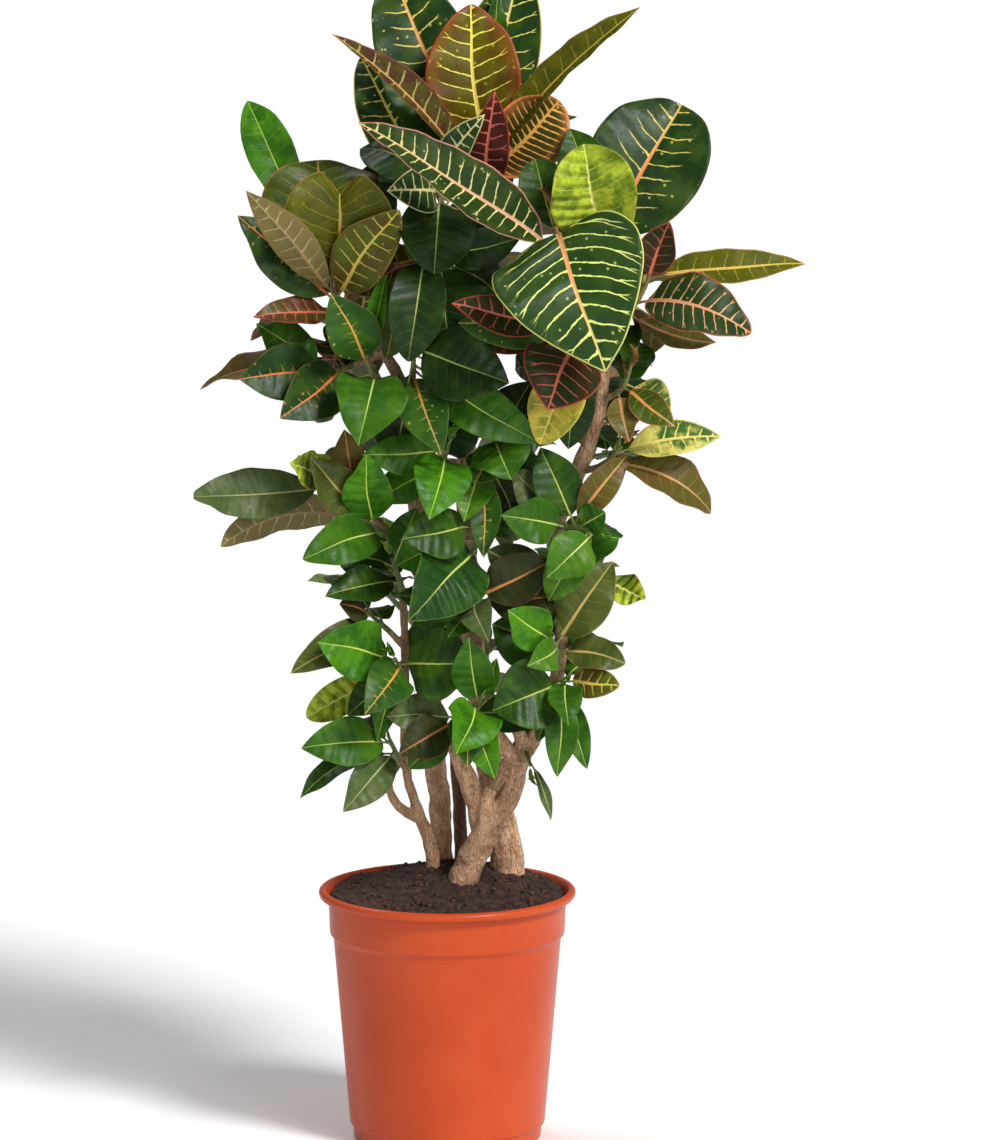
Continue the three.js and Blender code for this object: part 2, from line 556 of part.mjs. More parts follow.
// ---------------------------------------------------------------- colours
const potColour = { color: 0xc8582f, roughness: 0.45, metalness: 0 };
const soilColour = { color: 0x3a2620, roughness: 1, metalness: 0 };
const barkColour = { color: 0xa98565, roughness: 0.9, metalness: 0 };
const darkBarkColour = { color: 0x5b4536, roughness: 0.9, metalness: 0 };
const leafColours = [0x33502a, 0x4f7a22, 0x5d5a1c, 0x6b3a2c, 0x8a8a2e, 0x3c5b34];

// ---------------------------------------------------------------- helpers
// A seeded stream of numbers from 0 to 1.
function seededRandom(seed) {
  let state = seed;
  return () => {
    state = (state * 1664525 + 1013904223) % 4294967296;
    return state / 4294967296;
  };
}

// A place seen from the front, as a point of the model.
function place([across, up, depth]) {
  return new THREE.Vector3(across, depth, (up - depth * Math.sin(VIEW_RISE)) / Math.cos(VIEW_RISE));
}

// A closed geometry from points and triangles.
function geometryFrom(points, triangles) {
  const geometry = new THREE.BufferGeometry();
  const places = points.flatMap((point) => [point.x, point.y, point.z]);
  geometry.setAttribute("position", new THREE.Float32BufferAttribute(places, 3));
  geometry.setIndex(triangles.flat());
  return geometry;
}

// A geometry as a solid for joining and cutting.
function toSolid(geometry) {
  const bare = geometry.clone();
  bare.deleteAttribute("normal");
  bare.deleteAttribute("uv");
  const merged = mergeVertices(bare);
  return new wasm.Manifold(new wasm.Mesh({
    numProp: 3,
    vertProperties: merged.attributes.position.array,
    triVerts: new Uint32Array(merged.index.array),
  }));
}

// A solid back as a flat-shaded geometry.
function toGeometry(solid) {
  const mesh = solid.getMesh();
  const geometry = new THREE.BufferGeometry();
  geometry.setAttribute("position", new THREE.BufferAttribute(mesh.vertProperties, 3));
  geometry.setIndex(new THREE.BufferAttribute(mesh.triVerts, 1));
  geometry.computeVertexNormals();
  return geometry;
}

// The outward cap of a ring of vertices that starts at index first.
function cap(first, count, reversed) {
  const triangles = [];
  for (let i = 1; i < count - 1; i += 1) {
    triangles.push(reversed ? [first, first + i + 1, first + i] : [first, first + i, first + i + 1]);
  }
  return triangles;
}

// A round stem of changing radius along a smooth curve. endAlong, where given, squares its far end to that
// direction.
function stemSolid(points, radii, sides, rings, extra, endAlong) {
  const curve = new THREE.CatmullRomCurve3(points, false, "catmullrom", 0.5);
  const vertices = [];
  const triangles = [];
  let side = new THREE.Vector3(1, 0, 0);
  for (let ring = 0; ring <= rings; ring += 1) {
    const along = ring / rings;
    const centre = curve.getPoint(along);
    const tangent = ring === rings && endAlong ? endAlong.clone() : curve.getTangent(along);
    side = side.clone().addScaledVector(tangent, -side.dot(tangent)).normalize();
    const other = tangent.clone().cross(side);
    const row = along * (radii.length - 1);
    const step = Math.min(Math.floor(row), radii.length - 2);
    const radius = THREE.MathUtils.lerp(radii[step], radii[step + 1], row - step) + extra;
    for (let k = 0; k < sides; k += 1) {
      const turn = (FULL_TURN * k) / sides;
      const spoke = side.clone().multiplyScalar(Math.cos(turn)).addScaledVector(other, Math.sin(turn));
      vertices.push(centre.clone().addScaledVector(spoke, radius));
    }
    if (ring > 0) {
      const now = ring * sides;
      const before = now - sides;
      for (let k = 0; k < sides; k += 1) {
        const next = (k + 1) % sides;
        triangles.push([before + k, before + next, now + next], [before + k, now + next, now + k]);
      }
    }
  }
  triangles.push(...cap(0, sides, true), ...cap(rings * sides, sides, false));
  return toSolid(geometryFrom(vertices, triangles));
}

// The direction in which a shoot leaves its seat.
function seatDirection(shoot) {
  return place(shoot.path[1]).sub(place(shoot.path[0])).normalize();
}

// A woody tube from rows of [across, up, depth, radius].
function woodSolid(rows, sides, ringsPerRow, extra, endAlong) {
  const radii = rows.map((row) => row[3]);
  return stemSolid(rows.map(place), radii, sides, (rows.length - 1) * ringsPerRow, extra, endAlong);
}

// ---------------------------------------------------------------- pot
const COLLAR_TOP = POT_HEIGHT - RIM_DEPTH;
const COLLAR_BOTTOM = COLLAR_TOP - COLLAR_HEIGHT;
const COLLAR_LOWER_RADIUS = COLLAR_RADIUS - COLLAR_TAPER;
const BODY_TOP_RADIUS = COLLAR_LOWER_RADIUS - COLLAR_STEP;
const FOOT_TOP = FOOT_HEIGHT + STEP_SLOPE;

// The pot's profile from the foot up the outside, over the rolled rim and down the inside.
function potGeometry() {
  const profile = [
    [0, 0], [FOOT_RADIUS, 0], [FOOT_RADIUS + 1, FOOT_HEIGHT], [BODY_BOTTOM_RADIUS, FOOT_TOP],
    [BODY_TOP_RADIUS, COLLAR_BOTTOM - STEP_SLOPE], [COLLAR_LOWER_RADIUS, COLLAR_BOTTOM + STEP_SLOPE],
    [COLLAR_RADIUS, COLLAR_TOP], [RIM_RADIUS - 1.5, COLLAR_TOP + 0.5],
    [RIM_RADIUS, POT_HEIGHT - 3], [RIM_RADIUS - 3, POT_HEIGHT], [RIM_RADIUS - RIM_WIDTH, POT_HEIGHT],
    [COLLAR_RADIUS - WALL, COLLAR_TOP - 1], [COLLAR_LOWER_RADIUS - WALL, COLLAR_BOTTOM + STEP_SLOPE],
    [BODY_TOP_RADIUS - WALL, COLLAR_BOTTOM - STEP_SLOPE],
    [BODY_BOTTOM_RADIUS - WALL, FOOT_TOP], [FOOT_RADIUS - WALL, WALL], [0, WALL],
  ];
  const body = new THREE.LatheGeometry(profile.map(([r, z]) => new THREE.Vector2(r, z)), POT_SIDES);
  body.rotateX(Math.PI / 2);
  let pot = toSolid(body);
  for (let i = 0; i < DRAIN_COUNT; i += 1) {
    const turn = (FULL_TURN * (i + 0.5)) / DRAIN_COUNT;
    const hole = new THREE.CylinderGeometry(DRAIN_RADIUS, DRAIN_RADIUS, 4 * WALL, DRAIN_SIDES);
    hole.rotateX(Math.PI / 2);
    hole.translate(DRAIN_CIRCLE * Math.cos(turn), DRAIN_CIRCLE * Math.sin(turn), 0);
    pot = pot.subtract(toSolid(hole));
  }
  return toGeometry(pot);
}

// ---------------------------------------------------------------- soil
// The height of the soil's surface: level at the wall, mounded round the stems.
function soilHeight(x, y) {
  const across = (x - MOUND_CENTRE.x) / MOUND_SPREAD.x;
  const deep = (y - MOUND_CENTRE.y) / MOUND_SPREAD.y;
  return SOIL_EDGE + SOIL_MOUND * Math.exp(-(across * across + deep * deep) / 2);
}

// The soil fills the pot with the same number of sides. Its surface has rings of small lumps, and the stems
// stand in plain holes.
function soilGeometry(holes) {
  const random = seededRandom(SOIL_SEED);
  const sides = POT_SIDES;
  const seat = 1.6 * FIT;
  const wallRings = [
    [COLLAR_LOWER_RADIUS - WALL - seat, COLLAR_BOTTOM + STEP_SLOPE + FIT],
    [BODY_TOP_RADIUS - WALL - seat, COLLAR_BOTTOM - STEP_SLOPE + FIT],
    [BODY_BOTTOM_RADIUS - WALL - 2 * seat, FOOT_TOP + 1], [FOOT_RADIUS - WALL - seat, WALL + FIT],
  ];
  const topRadius = COLLAR_RADIUS - WALL - 2 * seat;
  const vertices = [new THREE.Vector3(0, 0, soilHeight(0, 0))];
  const triangles = [];
  const rows = SOIL_RINGS.map((share) => [topRadius * share, null]);
  rows.push(...wallRings);
  rows.forEach(([radius, height], row) => {
    for (let k = 0; k < sides; k += 1) {
      const turn = (FULL_TURN * k) / sides;
      const lump = height === null ? SOIL_LUMPS * (random() - 0.5) * 2 : 0;
      const x = radius * Math.cos(turn);
      const y = radius * Math.sin(turn);
      vertices.push(new THREE.Vector3(x, y, height === null ? soilHeight(x, y) + lump : height));
    }
    const now = 1 + row * sides;
    for (let k = 0; k < sides; k += 1) {
      const next = (k + 1) % sides;
      const before = now - sides;
      if (row === 0) {
        triangles.push([0, now + k, now + next]);
      } else {
        triangles.push([before + k, now + k, now + next], [before + k, now + next, before + next]);
      }
    }
  });
  triangles.push(...cap(1 + (rows.length - 1) * sides, sides, true));
  let soil = toSolid(geometryFrom(vertices, triangles));
  holes.forEach((hole) => {
    soil = soil.subtract(hole);
  });
  return toGeometry(soil);
}

// ---------------------------------------------------------------- woody stems
function shootsOn(stem) {
  return shoots.filter((shoot) => shoot.wood === stem.name);
}

// A stem with its cut stubs and the twigs that carry its side shoots.
function stemGeometrySolid(stem) {
  const topShoot = shootsOn(stem).find((shoot) => !shoot.twig);
  let solid = woodSolid(stem.path, stem.sides, 1, 0, topShoot && seatDirection(topShoot));
  stem.stubs.forEach((stub) => {
    solid = solid.add(woodSolid(stub, TWIG_SIDES, 1, 0));
  });
  shootsOn(stem).filter((shoot) => shoot.twig).forEach((shoot) => {
    solid = solid.add(woodSolid(shoot.twig, TWIG_SIDES, 1, 0, seatDirection(shoot)));
  });
  return solid;
}

// ---------------------------------------------------------------- leaves
// The half width of a blade of one of the forms, at the share along of its length, for a full width of 1.
function bladeHalfWidth(along, form) {
  const { base, tip } = BLADE_SHAPES[form];
  const widest = base / (base + tip);
  const peak = Math.pow(widest, base) * Math.pow(1 - widest, tip);
  return (0.5 * Math.pow(along, base) * Math.pow(1 - along, tip)) / peak;
}

// A leaf's frame: root, tip, the direction across it and its upper side.
function leafFrame(leaf, nudge) {
  const root = leaf.root;
  const tip = place([leaf.tip[0] + nudge[0], leaf.tip[1] + nudge[1], leaf.tip[2] + nudge[2]]);
  const chord = tip.clone().sub(root);
  const along = chord.clone().normalize();
  const upper = new THREE.Vector3(0, -leaf.face, 1 - Math.abs(leaf.face));
  upper.addScaledVector(along, -upper.dot(along)).normalize();
  return { root, chord, upper, across: along.clone().cross(upper) };
}

// The rings of a leaf from its root in the shoot to its tip: the share of its length, the half width, the
// upper side's direction and whether the midrib is sunk below the edges there.
function leafRings(leaf, frame) {
  const { root, chord, upper, across } = frame;
  const length = chord.length();
  const petiole = Math.min(0.22, (PETIOLE_LEAST + PETIOLE_SHARE * length) / length);
  const { stations } = leaf.isFill ? fillSize : leafSizes.find((size) => leaf.width >= size.least);
  const places = stations.map((station) => petiole + station * (1 - petiole));
  const shares = [0, petiole, ...places, 1];
  return shares.map((share, index) => {
    const bow = 4 * leaf.arch * length;
    const middle = root.clone().addScaledVector(chord, share);
    middle.addScaledVector(upper, bow * share * (1 - share));
    const slope = bow * (1 - 2 * Math.max(share, shares[1]));
    const tangent = chord.clone().addScaledVector(upper, slope).normalize();
    const out = upper.clone().addScaledVector(tangent, -upper.dot(tangent)).normalize();
    const station = Math.max(0, (share - petiole) / (1 - petiole));
    const half = Math.max(PETIOLE_HALF_WIDTH, leaf.width * bladeHalfWidth(station, leaf.form));
    const onBlade = half > PETIOLE_HALF_WIDTH;
    const fold = onBlade ? leaf.fold : 0;
    const wave = onBlade ? WAVE * leaf.width * Math.sin(leaf.phase + 9 * station) : 0;
    const flat = half * Math.cos(fold);
    const lift = half * Math.sin(fold);
    const mostTwist = TWIST * Math.min(1, TWIST_WIDTH / leaf.width);
    const twist = onBlade ? mostTwist * Math.sin(2 * leaf.phase) * (station - 0.4) : 0;
    const side = across.clone().multiplyScalar(Math.cos(twist)).addScaledVector(out, Math.sin(twist));
    const face = out.clone().multiplyScalar(Math.cos(twist)).addScaledVector(across, -Math.sin(twist));
    const left = middle.clone().addScaledVector(side, -flat).addScaledVector(face, lift + wave);
    const right = middle.clone().addScaledVector(side, flat).addScaledVector(face, lift - wave);
    const isTip = index === shares.length - 1;
    const row = onBlade && leaf.width >= LEAST_RIBBED && !leaf.isFill ? [left, middle, right] : [left, right];
    return { row: isTip ? [middle] : row, out: face };
  });
}

// The triangles of one face between two rows of vertices that run from the left edge to the right edge.
function strip(before, beforeCount, now, nowCount) {
  if (nowCount === 1) {
    return Array.from({ length: beforeCount - 1 }, (_, k) => [before + k, before + k + 1, now]);
  }
  if (beforeCount < nowCount) {
    return [[before, before + 1, now + 1], [before, now + 1, now], [before + 1, now + 2, now + 1]];
  }
  if (nowCount === 2) {
    return [[before, before + 1, now + 1], [before, now + 1, now]];
  }
  return [
    [before, before + 1, now + 1], [before, now + 1, now],
    [before + 1, before + 2, now + 1], [before + 2, now + 2, now + 1],
  ];
}

// The closed blade and petiole of a leaf, from one of its rings on. Both faces are split into triangles
// alike.
function leafSolid(leaf, bend, thickness, fromRing) {
  const rings = leafRings(leaf, leafFrame(leaf, bend)).slice(fromRing);
  const half = thickness / 2;
  const vertices = [];
  const triangles = [];
  let before = null;
  rings.forEach(({ row, out }) => {
    const count = row.length;
    const top = vertices.length;
    const under = top + count;
    row.forEach((point) => vertices.push(point.clone().addScaledVector(out, half)));
    row.forEach((point) => vertices.push(point.clone().addScaledVector(out, -half)));
    if (before === null) {
      for (let k = 0; k < count - 1; k += 1) {
        triangles.push([top + k, under + k, under + k + 1], [top + k, under + k + 1, top + k + 1]);
      }
    } else {
      triangles.push(...strip(before.top, before.count, top, count));
      strip(before.under, before.count, under, count).forEach(([a, b, c]) => triangles.push([a, c, b]));
      triangles.push([before.top, top, under], [before.top, under, before.under]);
      const [lastTop, lastUnder] = [before.top + before.count - 1, before.under + before.count - 1];
      triangles.push([lastTop, under + count - 1, top + count - 1], [lastTop, lastUnder, under + count - 1]);
    }
    before = { top, under, count };
  });
  return toSolid(geometryFrom(vertices, triangles));
}

// The ways in which a leaf may be bent to clear its neighbours, the smallest first.
function bends() {
  const directions = [
    [0, 0, 1], [0, 0, -1], [0, 0.6, 0.6], [0, -0.6, 0.6], [0, 0.6, -0.6], [0, -0.6, -0.6],
    [0.6, 0, 0.6], [-0.6, 0, 0.6], [0.6, 0, -0.6], [-0.6, 0, -0.6],
    [0, 1, 0], [0, -1, 0], [1, 0, 0], [-1, 0, 0],
  ];
  const list = [[0, 0, 0]];
  for (let step = 1; step <= NUDGE_REACH; step += 1) {
    directions.forEach((direction) => list.push(direction.map((value) => value * step * NUDGE)));
  }
  return list;
}

// ---------------------------------------------------------------- shoots
// The curve of a shoot's green stem, just off its seat.
function shootCurve(shoot) {
  const points = shoot.path.map(place);
  points[0].addScaledVector(seatDirection(shoot), FIT);
  return new THREE.CatmullRomCurve3(points, false, "catmullrom", 0.5);
}

function seatRadius(shoot) {
  const stem = stems.find((one) => one.name === shoot.wood);
  const rows = shoot.twig || stem.path;
  return rows[rows.length - 1][3];
}

// The leaves that the layout lists.
function listedLeaves(shoot, random) {
  return shoot.leaves.map(([along, across, up, depth, width, face, arch, fold, form = "oval"]) => ({
    along, tip: [across, up, depth], width, face, arch, fold, form,
    phase: FULL_TURN * random(), isFill: false,
  }));
}

// A shoot's leaves on the sides that the front view doesn't show, turned by the golden angle.
function fillLeaves(shoot, random) {
  const { count, from, to, length, width, low, high, face } = shoot.fill;
  return Array.from({ length: count }, (_, i) => {
    const along = (i + 0.5) / count;
    const share = (i * GOLDEN_TURN + GOLDEN_START) % 1;
    const turn = THREE.MathUtils.degToRad(from + (to - from) * share + TURN_SPREAD * (random() - 0.5));
    const rise = THREE.MathUtils.degToRad(low + (high - low) * along + RISE_SPREAD * (random() - 0.5));
    const size = 0.82 + 0.3 * random();
    const reach = new THREE.Vector3(Math.cos(turn), Math.sin(turn), Math.tan(rise));
    reach.multiplyScalar(Math.cos(rise) * length * size);
    return {
      along, reach, width: width * size * (0.88 + 0.24 * random()), face,
      arch: 0.08 + 0.1 * random(), fold: 0, form: "oval", phase: FULL_TURN * random(),
      isFill: true,
    };
  });
}

// Every leaf of a shoot, with their roots spread evenly along it in the order of their places.
function leavesOn(shoot, random) {
  const curve = shootCurve(shoot);
  const leaves = [...listedLeaves(shoot, random), ...fillLeaves(shoot, random)];
  leaves.sort((one, other) => one.along - other.along);
  leaves.forEach((leaf, rank) => {
    leaf.shoot = shoot.name;
    leaf.root = curve.getPoint(THREE.MathUtils.lerp(FIRST_ROOT, LAST_ROOT, (rank + 0.5) / leaves.length));
    if (leaf.isFill) {
      const tip = leaf.root.clone().add(leaf.reach);
      leaf.tip = [tip.x, tip.z * Math.cos(VIEW_RISE) + tip.y * Math.sin(VIEW_RISE), tip.y];
    }
  });
  return leaves;
}

// ---------------------------------------------------------------- building
const group = new THREE.Group();

function addMesh(name, geometry, colour) {
  const mesh = new THREE.Mesh(geometry, new THREE.MeshStandardMaterial({ ...colour, side: THREE.FrontSide }));
  mesh.name = name;
  group.add(mesh);
}

addMesh("pot", potGeometry(), potColour);
addMesh("soil", soilGeometry(stems.map((stem) => woodSolid(stem.path, stem.sides, 1, FIT))), soilColour);

// What is already in place, with the node that it belongs to, its blade where it is a leaf, and its bounds.
const placed = [];

function boundsOf(solid) {
  const { min, max } = solid.boundingBox();
  return new THREE.Box3(new THREE.Vector3(...min), new THREE.Vector3(...max));
}

function putInPlace(node, solid, blade) {
  placed.push({ node, solid, blade, bounds: boundsOf(solid) });
}

// Whether a leaf's solid meets anything of another node, or, where strict, another blade of its own node.
function meets(solid, node, strict) {
  const bounds = boundsOf(solid);
  return placed.some((other) => {
    const obstacle = other.node !== node ? other.solid : strict && other.blade;
    return obstacle && bounds.intersectsBox(other.bounds) && !solid.intersect(obstacle).isEmpty();
  });
}

stems.forEach((stem) => {
  const solid = stemGeometrySolid(stem);
  addMesh(stem.name, toGeometry(solid), stem.name === "stem_dark" ? darkBarkColour : barkColour);
  putInPlace(stem.name, solid, null);
});

const shootSolids = new Map();
shoots.forEach((shoot) => {
  const curve = shootCurve(shoot);
  const radius = seatRadius(shoot);
  const solid = stemSolid(curve.points, [radius, 0.8 * radius, 0.5 * radius], SHOOT_SIDES, 2, 0);
  shootSolids.set(shoot.name, solid);
  putInPlace(shoot.name, solid, null);
});

// A leaf's bend: the smallest that keeps it clear, or none where every bend meets a neighbour.
const allBends = bends();
function clearBend(leaf) {
  const thick = BLADE + 2 * CLEARANCE;
  const whole = (bend) => leafSolid(leaf, bend, thick, 0);
  const blade = (bend) => leafSolid(leaf, bend, thick, 1);
  const fits = (bend) => !meets(whole(bend), leaf.shoot, false);
  return allBends.find((bend) => fits(bend) && !meets(blade(bend), leaf.shoot, true)) || allBends.find(fits);
}

// Each shoot draws its own numbers, so that a change to one leaves the others as they are.
const allLeaves = shoots.flatMap((shoot, index) => {
  return leavesOn(shoot, seededRandom(LEAF_SEED + SEED_STEP * index));
});
// The listed leaves come first, the widest of them before the others.
const inOrder = [...allLeaves].sort((one, other) => one.isFill - other.isFill || other.width - one.width);
inOrder.forEach((leaf) => {
  const bend = clearBend(leaf);
  if (!bend) {
    return;
  }
  const solid = leafSolid(leaf, bend, BLADE, 0);
  shootSolids.set(leaf.shoot, shootSolids.get(leaf.shoot).add(solid));
  putInPlace(leaf.shoot, solid, leafSolid(leaf, bend, BLADE, 1));
});

shoots.forEach((shoot, index) => {
  const colour = { color: leafColours[index % leafColours.length], roughness: 0.4, metalness: 0 };
  addMesh(shoot.name, toGeometry(shootSolids.get(shoot.name)), colour);
});

export default group;
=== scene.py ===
"""A potted croton: a moulded pot, soil, five woody stems and the leafy shoots that they carry.

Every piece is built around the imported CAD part. The layout is in millimetres as the front view shows it:
across to the right, up, and depth away from the viewer.
"""

import math

import bmesh
import bpy
import numpy as np
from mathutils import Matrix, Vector, kdtree, noise


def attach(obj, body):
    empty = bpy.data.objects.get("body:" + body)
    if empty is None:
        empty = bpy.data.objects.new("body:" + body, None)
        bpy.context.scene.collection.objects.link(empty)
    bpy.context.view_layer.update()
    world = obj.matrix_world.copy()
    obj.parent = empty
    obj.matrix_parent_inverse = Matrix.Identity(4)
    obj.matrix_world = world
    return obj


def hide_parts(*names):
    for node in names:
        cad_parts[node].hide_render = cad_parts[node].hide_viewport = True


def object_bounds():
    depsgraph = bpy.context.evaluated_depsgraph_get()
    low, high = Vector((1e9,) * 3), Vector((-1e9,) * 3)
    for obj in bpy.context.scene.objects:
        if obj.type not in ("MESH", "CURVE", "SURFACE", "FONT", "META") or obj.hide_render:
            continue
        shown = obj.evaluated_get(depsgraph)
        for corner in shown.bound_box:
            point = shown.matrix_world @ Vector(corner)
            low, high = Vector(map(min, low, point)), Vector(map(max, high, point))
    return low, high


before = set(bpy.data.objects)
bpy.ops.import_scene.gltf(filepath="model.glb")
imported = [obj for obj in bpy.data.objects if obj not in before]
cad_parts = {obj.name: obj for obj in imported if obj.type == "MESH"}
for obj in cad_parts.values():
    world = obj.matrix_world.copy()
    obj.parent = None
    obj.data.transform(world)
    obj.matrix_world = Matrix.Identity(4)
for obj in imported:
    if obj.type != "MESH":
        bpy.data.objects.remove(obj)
CAD_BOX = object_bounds()

MM = 0.001
VIEW_RISE = math.radians(10.5)
FULL_TURN = 2 * math.pi

# ---------------------------------------------------------------- pot and soil, in mm
POT_HEIGHT = 255
RIM_RADIUS = 129.5
RIM_DEPTH = 9
RIM_WIDTH = 7
WALL = 2.4
COLLAR_RADIUS = 119.5
COLLAR_HEIGHT = 38
COLLAR_TAPER = 1.5
COLLAR_STEP = 3.5
STEP_SLOPE = 2
BODY_BOTTOM_RADIUS = 98
FOOT_RADIUS = 94
FOOT_HEIGHT = 13
POT_SIDES = 192
DRAIN_COUNT = 6
DRAIN_RADIUS = 6
DRAIN_CIRCLE = 72
DRAIN_SIDES = 32

SOIL_EDGE = 247
SOIL_MOUND = 25
MOUND_CENTRE = (5, 45)
MOUND_SPREAD = (60, 45)
SOIL_SIDES = 180
SOIL_RINGS = 84
SOIL_GAP = 0.5
SOIL_SEED = 11
# The soil's lumps: how fine they are, their layer of the noise and their height.
SOIL_LUMPS = ((0.035, 3.0, 2.2), (0.13, 9.0, 1.9), (0.42, 5.0, 1.3), (0.95, 7.0, 0.8))
CRUMB_COUNT = 620
CRUMB_SIZES = (0.7, 2.6)
LARGE_CRUMB = 1.5
FIBRE_COUNT = 90
FIBRE_LENGTHS = (5, 20)
FIBRE_RADII = (0.18, 0.42)
FIBRE_BEND = 2.2
FIBRE_SPREAD = 0.88

# ---------------------------------------------------------------- wood, in mm
BARK_VOXEL = 1.2
WOOD_SIDES = 20
WOOD_SPACING = 4
WOOD_STEPS = 6
WOOD_SWELL = 0.05
WOOD_KNOT = 0.22
YOUNG_RADIUS = 6.5
YOUNG_FADE = 3.5
RELIEF_RADIUS = 11
BARK_RIDGE = 0.9
BARK_LUMP = 1.5
BARK_GRAIN = 0.35
CUT_DEPTH = 1.4
CUT_SPREAD = 1.15
CUT_INSET = 0.2

# ---------------------------------------------------------------- leaves, in mm
BLADE_FORMS = {"oval": (0.8, 0.98), "full": (0.7, 0.78), "spoon": (0.85, 0.6), "heart": (0.45, 0.92),
               "broad": (0.6, 0.5), "paddle": (1.8, 0.85)}
# The most that a blade turns about its midrib, in radians, up to this width.
TWIST = 0.5
TWIST_WIDTH = 60
WAVE = 0.035
# The look and form of the leaf whose tip is notched.
NOTCHED = ("olive", "spoon")
NOTCH_START = 0.6
NOTCH_DEPTH = 30
NOTCH_WIDTH = 12
PETIOLE_LEAST = 7
PETIOLE_SHARE = 0.06
PETIOLE_LIMIT = 0.22
PETIOLE_RADIUS = 1.25
CAD_BLADE = 1.0
CAD_PETIOLE = 0.7
# Where along a blade the CAD solid has corners, for each least width.
CAD_STATIONS = [(90, (0.16, 0.38, 0.62, 0.84)), (58, (0.2, 0.46, 0.76)), (36, (0.33, 0.7)), (0, (0.36, 0.72))]
CAD_FILL_STATIONS = (0.33, 0.7)
# A bend is the CAD's own if this share of the corners lies this near to the solid's vertices.
CAD_MATCH = 0.04
CAD_MATCHING_SHARE = 0.6
BEND_STEP = 9
BEND_STEPS = 8
# The rows of vertices along a blade, for each least width.
BLADE_ROWS = ((58, 30), (30, 22), (0, 16))
BLADE_THICKNESS = 0.55
RIB_HALF_WIDTH = 1.0
RIB_DEPTH = 1.1
RIB_GROOVE = 0.22
RUFFLES = (0.6, 1.5)
RUFFLE_WIDTH = 60
RIPPLE_LENGTHS = (30, 44)
CURLS = (-0.10, 0.05)
DROOPS = (0.0, 0.06)
SWAYS = (-0.03, 0.03)
VEIN_SPACINGS = (6.0, 19.0)
LONG_BLADE = 200
WIDE_BLADE = 90
BOX_GAP = 0.05
SEAT_GAP = 0.3
SHOOT_SIDES = 16
SHOOT_STEPS = 18
GOLDEN_TURN = 0.618034
GOLDEN_START = 0.3
TURN_SPREAD = 16
RISE_SPREAD = 14
LEAF_SEED = 7
SEED_STEP = 101
LOOK_SEED = 23
FIRST_ROOT = 0.05
LAST_ROOT = 0.95

# ---------------------------------------------------------------- camera, floor and light, in metres
CAMERA_DISTANCE = 12
CLIP_END = 200
CAMERA_AIM = (0.053, 0, 0.5797)
FRAME_HEIGHT = 1.14
SENSOR = 24
FLOOR_REACH = 60
SKY_STRENGTH = 0.22
SUN_DISTANCE = 4
# Each sun: where it shines from (right, back, up), its strength and its width in degrees.
SUNS = {
    "key": ((0.66, -0.75, 0.95), 2.8, 14),
    "front": ((0.5, -0.9, 0.3), 0.8, 20),
    "top_back": ((-0.35, 0.6, 1.2), 0.9, 25),
}

# ---------------------------------------------------------------- tones, sRGB from 0 to 255
BARK = ((224, 182, 144), (194, 148, 112), (126, 88, 62))
# The bark of the thin stem behind the others: a darker copy of the bark, painted shade for a stem that stands
# in shadow.
SHADED_BARK = ((128, 98, 74), (102, 76, 56), (64, 46, 34))
YOUNG_BARK = (112, 104, 62)
CUT_WOOD = ((204, 170, 128), (150, 112, 78))
PEAT = ((34, 20, 17), (74, 46, 36))
PEAT_DUST = (112, 78, 58)
PEAT_FIBRE = (138, 104, 76)
PLASTIC = ((184, 68, 30), (196, 78, 38))
PLASTIC_LINES = (172, 62, 30)
PLASTIC_SCUFFS = (220, 112, 76)
# These are linear, with alpha.
LEAF_MOTTLE = (0.01, 0.02, 0.004, 1)
STEM_STREAKS = (0.055, 0.05, 0.018, 1)
STEM_SCARS = (0.10, 0.055, 0.03, 1)
BARK_CRACKS = (0.07, 0.040, 0.024, 1)
PAPER = ((0.90, 0.90, 0.90, 1), (0.94, 0.94, 0.94, 1))

# ---------------------------------------------------------------- leaf looks
TONES = ("blade", "patch", "vein", "rib", "edge", "back")
# vein_share and speck are how much of the veins and spots show, from 0 to 1. rib_width, edge_width and
# ruffle, the height of the margin's waves, are in mm. vein_reach is how far the veins run to the margin, from
# 0 to 1. relief is how much the blade swells between them. vein_width and spacing are shares of the usual.
USUAL = dict(vein_share=0.9, speck=0.2, rib_width=1.4, edge_width=1.2, ruffle=1.6, vein_width=1.0,
             vein_reach=0.9, relief=0.25, spacing=1.0)
GREEN = dict(vein_share=0.28, speck=0.1, rib_width=0.62, edge_width=0.6, ruffle=2.6, vein_width=0.45,
             relief=0.45)
BROWN = dict(vein_share=0.35, speck=0.1, rib_width=1.2, edge_width=0.8, vein_width=0.5)


def look(*tones, kind=USUAL, **sizes):
    """A leaf's look: its sRGB tones, 0 to 255, in the order of TONES, and what differs from its kind."""
    return {**USUAL, **kind, **dict(zip(TONES, tones)), **sizes}


